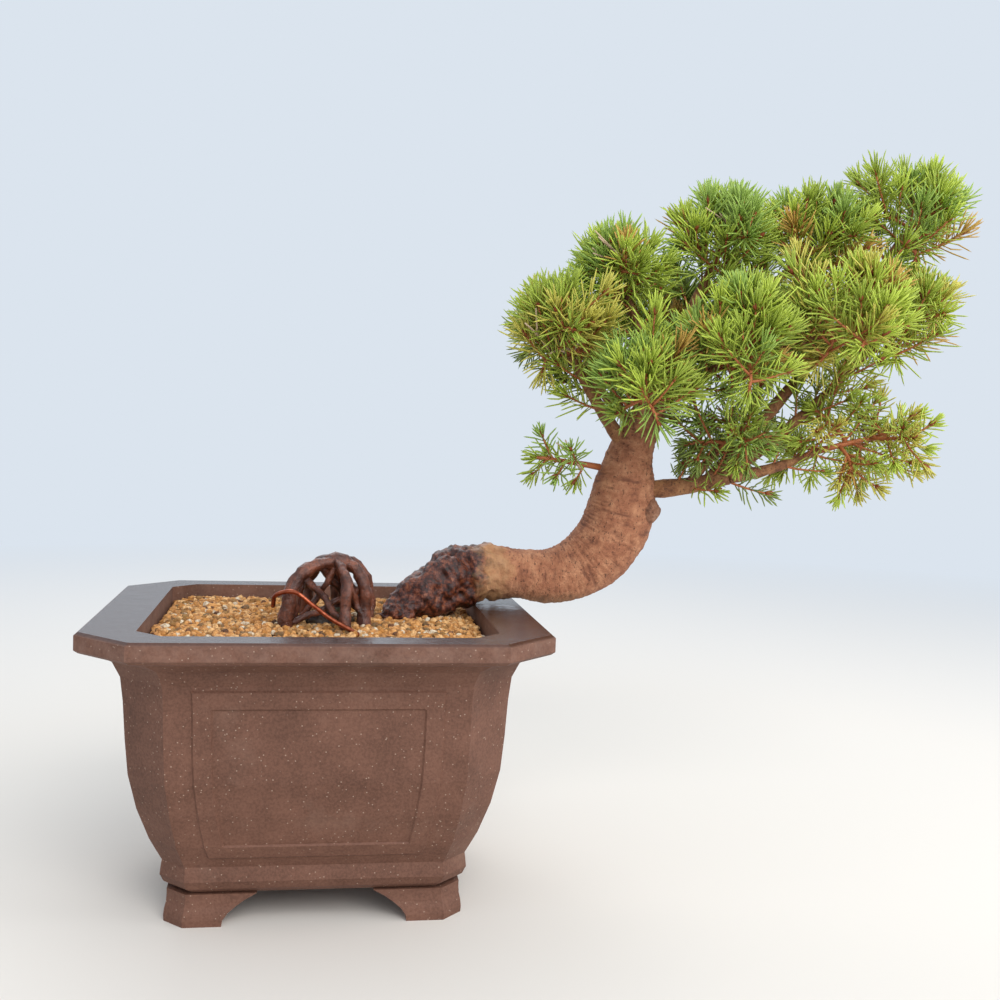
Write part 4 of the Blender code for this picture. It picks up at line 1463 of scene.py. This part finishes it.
@dataclass
class Soil:
    """The top of the filling: loose sieved granules of several tints, each a chipped block of its own.

    The layers are the chances of a granule at each place, from below. The filling is mounded in the
    middle and falls off at its edge, which is a share of its half width.
    """

    spacing: float = 2.75 * MM
    half: float = 73.2 * MM
    cut: float = 10.0 * MM
    layers: tuple = (1.0, 0.45)
    mound: float = 1.2
    edge: float = 0.86
    fall: float = 1.6 * MM
    half_grain: float = 1.75 * MM
    chip: float = 0.55
    tints: tuple = ("#CE9557", "#B9803F", "#DDAE74", "#8F6A38", "#6E5A3C", "#D9CBB0", "#4C3222")
    shares: tuple = (0.30, 0.22, 0.20, 0.12, 0.06, 0.06, 0.04)

    def block(self) -> tuple[np.ndarray, np.ndarray]:
        """One granule, a cube with all its edges chipped off.

        Returns:
            Its corners and its faces.
        """
        bm = bmesh.new()
        bmesh.ops.create_cube(bm, size=2.0)
        bmesh.ops.bevel(bm, geom=bm.edges[:] + bm.verts[:], offset=self.chip, affect="EDGES", segments=1,
                        profile=0.5, material=-1)
        bm.verts.index_update()
        corners = np.array([v.co[:] for v in bm.verts])
        # Each face is cut from its lowest corner, because an even square has no shorter diagonal to choose
        faces = []
        for face in bm.faces:
            ring = [vert.index for vert in face.verts]
            lowest = ring.index(min(ring))
            first, *rest = ring[lowest:] + ring[:lowest]
            faces += [(first, a, b) for a, b in zip(rest, rest[1:])]
        bm.free()
        return corners, np.array(sorted(faces))

    def places(self, rng: np.random.Generator) -> np.ndarray:
        """Where the granules lie.

        Args:
            rng: the source of their chances.

        Returns:
            Their middles.
        """
        count = int(2 * self.half / self.spacing)
        line = (np.arange(count) + 0.5) / count * 2 - 1
        x, y = (grid.ravel() * self.half for grid in np.meshgrid(line, line))
        places = []
        for layer, chance in enumerate(self.layers):
            px = x + rng.uniform(-0.5, 0.5, len(x)) * self.spacing + layer * self.spacing / 2
            py = y + rng.uniform(-0.5, 0.5, len(y)) * self.spacing
            edge = np.maximum(np.abs(px), np.abs(py)) / self.half
            pz = SOIL_TOP + (0.4 + 0.9 * layer + self.mound * (1 - edge**2)) * MM
            pz -= self.fall * (edge > self.edge) * (edge - self.edge) / (1 - self.edge)
            keep = (edge < 0.985) & (np.abs(px) + np.abs(py) < 2 * self.half - self.cut - 2 * MM)
            keep &= rng.random(len(px)) < chance
            places.append(np.stack((px, py, pz), 1)[keep])
        return np.vstack(places)

    def build(self) -> None:
        """Strew the granules and dress the solid under them."""
        corners, faces = self.block()
        rng = np.random.default_rng(SEED + 4)
        places = self.places(rng)
        kinds = rng.choice(len(self.tints), len(places), p=self.shares)
        for kind, code in enumerate(self.tints):
            own = places[kinds == kind]
            sizes = rng.uniform(0.55, 1.0, (len(own), 1)) * rng.uniform(0.75, 1.2, (len(own), 3))
            sizes *= self.half_grain
            turns = [Matrix.Rotation(a, 3, "X") @ Matrix.Rotation(b, 3, "Y") @ Matrix.Rotation(c, 3, "Z")
                     for a, b, c in rng.uniform(0, 6.28, (len(own), 3))]
            shapes = corners[None] * sizes[:, None] * rng.uniform(0.85, 1.12, (len(own), len(corners), 1))
            points = np.einsum("nij,nkj->nki", np.array([np.array(t) for t in turns]), shapes) + own[:, None]
            rows = repeated(faces, len(own), len(corners))
            piece = joined_mesh(f"granules_{kind}", points.reshape(-1, 3), rows, smooth=False)
            dress(piece, BakedClay(code).material())
        coat("soil", BakedClay("#7E5A34").material())


@dataclass
class Pot:
    """The pot and its feet keep their solids, and get a stoneware finish."""

    finish: UnglazedStoneware = UnglazedStoneware()

    def build(self) -> None:
        """Dress the pot and its four feet."""
        stoneware = self.finish.material()
        for name in frame["nodes"]:
            if name.startswith("pot"):
                coat(name, stoneware)


@dataclass
class Studio:
    """The pale floor, soft light and the camera, in front of the pot and turned a little to the right.

    The eye is measured from the middle of the pot. Each lamp has a name, a place, a width and its watts.
    """

    eye: tuple = (-6.1 * MM, -549.2 * MM, 214.2 * MM)
    pitch: float = math.radians(3.65)
    yaw: float = math.radians(9.14)
    roll: float = math.radians(1.98)
    lens_px: float = 1180.0
    frame_px: float = 1000.0
    sensor: float = 36.0
    floor_half: float = 12.0
    aim: tuple = (0.0, 0.0, 0.18)
    lamps: tuple = (
        ("key", (0.25, -1.15, 0.95), 0.9, 15.0),
        ("side", (1.05, -0.35, 0.75), 0.8, 7.0),
        ("back", (-0.2, 1.0, 1.1), 0.9, 7.0),
    )

    def build(self) -> None:
        """Set up the camera, the floor and the lights."""
        self.camera()
        self.floor()
        for lamp in self.lamps:
            self.light(*lamp)
        world = bpy.data.worlds.new("studio")
        bpy.context.scene.world = world
        world.use_nodes = True
        background = world.node_tree.nodes["Background"]
        plug(world.node_tree, background, {"Color": linear(SURROUND), "Strength": 1.0})
        bpy.context.scene.view_settings.view_transform = "Standard"

    def camera(self) -> None:
        """The camera, from its eye point and its three angles."""
        cp, sp = math.cos(self.pitch), math.sin(self.pitch)
        forward = Vector((math.sin(self.yaw) * cp, math.cos(self.yaw) * cp, -sp))
        level = Vector((math.cos(self.yaw), -math.sin(self.yaw), 0.0))
        upright = level.cross(forward)
        c, s = math.cos(self.roll), math.sin(self.roll)
        right, up = c * level + s * upright, -s * level + c * upright
        data = bpy.data.cameras.new("camera")
        data.lens = self.lens_px / self.frame_px * self.sensor
        data.sensor_width = self.sensor
        camera = bpy.data.objects.new("camera", data)
        bpy.context.scene.collection.objects.link(camera)
        turn = Matrix((right, up, -forward)).transposed().to_4x4()
        camera.matrix_world = Matrix.Translation(Vector(self.eye) + Vector(POT_AT)) @ turn
        bpy.context.scene.camera = camera

    def floor(self) -> None:
        """A wide pale floor."""
        bm = bmesh.new()
        bmesh.ops.create_grid(bm, x_segments=1, y_segments=1, size=self.floor_half)
        mesh = bpy.data.meshes.new("floor")
        bm.to_mesh(mesh)
        bm.free()
        floor = bpy.data.objects.new("floor", mesh)
        bpy.context.scene.collection.objects.link(floor)
        mesh.materials.append(PaleFloor().material())

    def light(self, name: str, at: tuple, size: float, watts: float) -> None:
        """One square area lamp that looks at the tree.

        Args:
            name: its name.
            at: its place.
            size: its width.
            watts: its power.
        """
        data = bpy.data.lights.new(name, "AREA")
        data.size = size
        data.energy = watts
        lamp = bpy.data.objects.new(name, data)
        bpy.context.scene.collection.objects.link(lamp)
        lamp.location = at
        lamp.rotation_euler = (Vector(self.aim) - Vector(at)).to_track_quat("-Z", "Y").to_euler()


def write_sizes() -> None:
    """Bring the view layer up to date."""
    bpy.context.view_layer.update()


def main() -> None:
    """Build every piece in order, from the same seeds each run."""
    logging.basicConfig(level=logging.INFO, format="%(message)s")
    # Vectors of noise come from offsets that Blender draws by the clock unless they are seeded
    noise.seed_set(SEED)
    Studio().build()
    Pot().build()
    Soil().build()
    Roots().build()
    Trunk().build()
    growth = Growth()
    twigs = growth.grow()
    LOG.info("twigs: %d", len(twigs))
    Boughs().build(growth.paths)
    wood = Twigs().build(twigs)
    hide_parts(*[name for name in frame["nodes"] if name.startswith("foliage")])
    Needles().build(twigs)
    write_sizes()


if __name__ == "__main__":
    main()
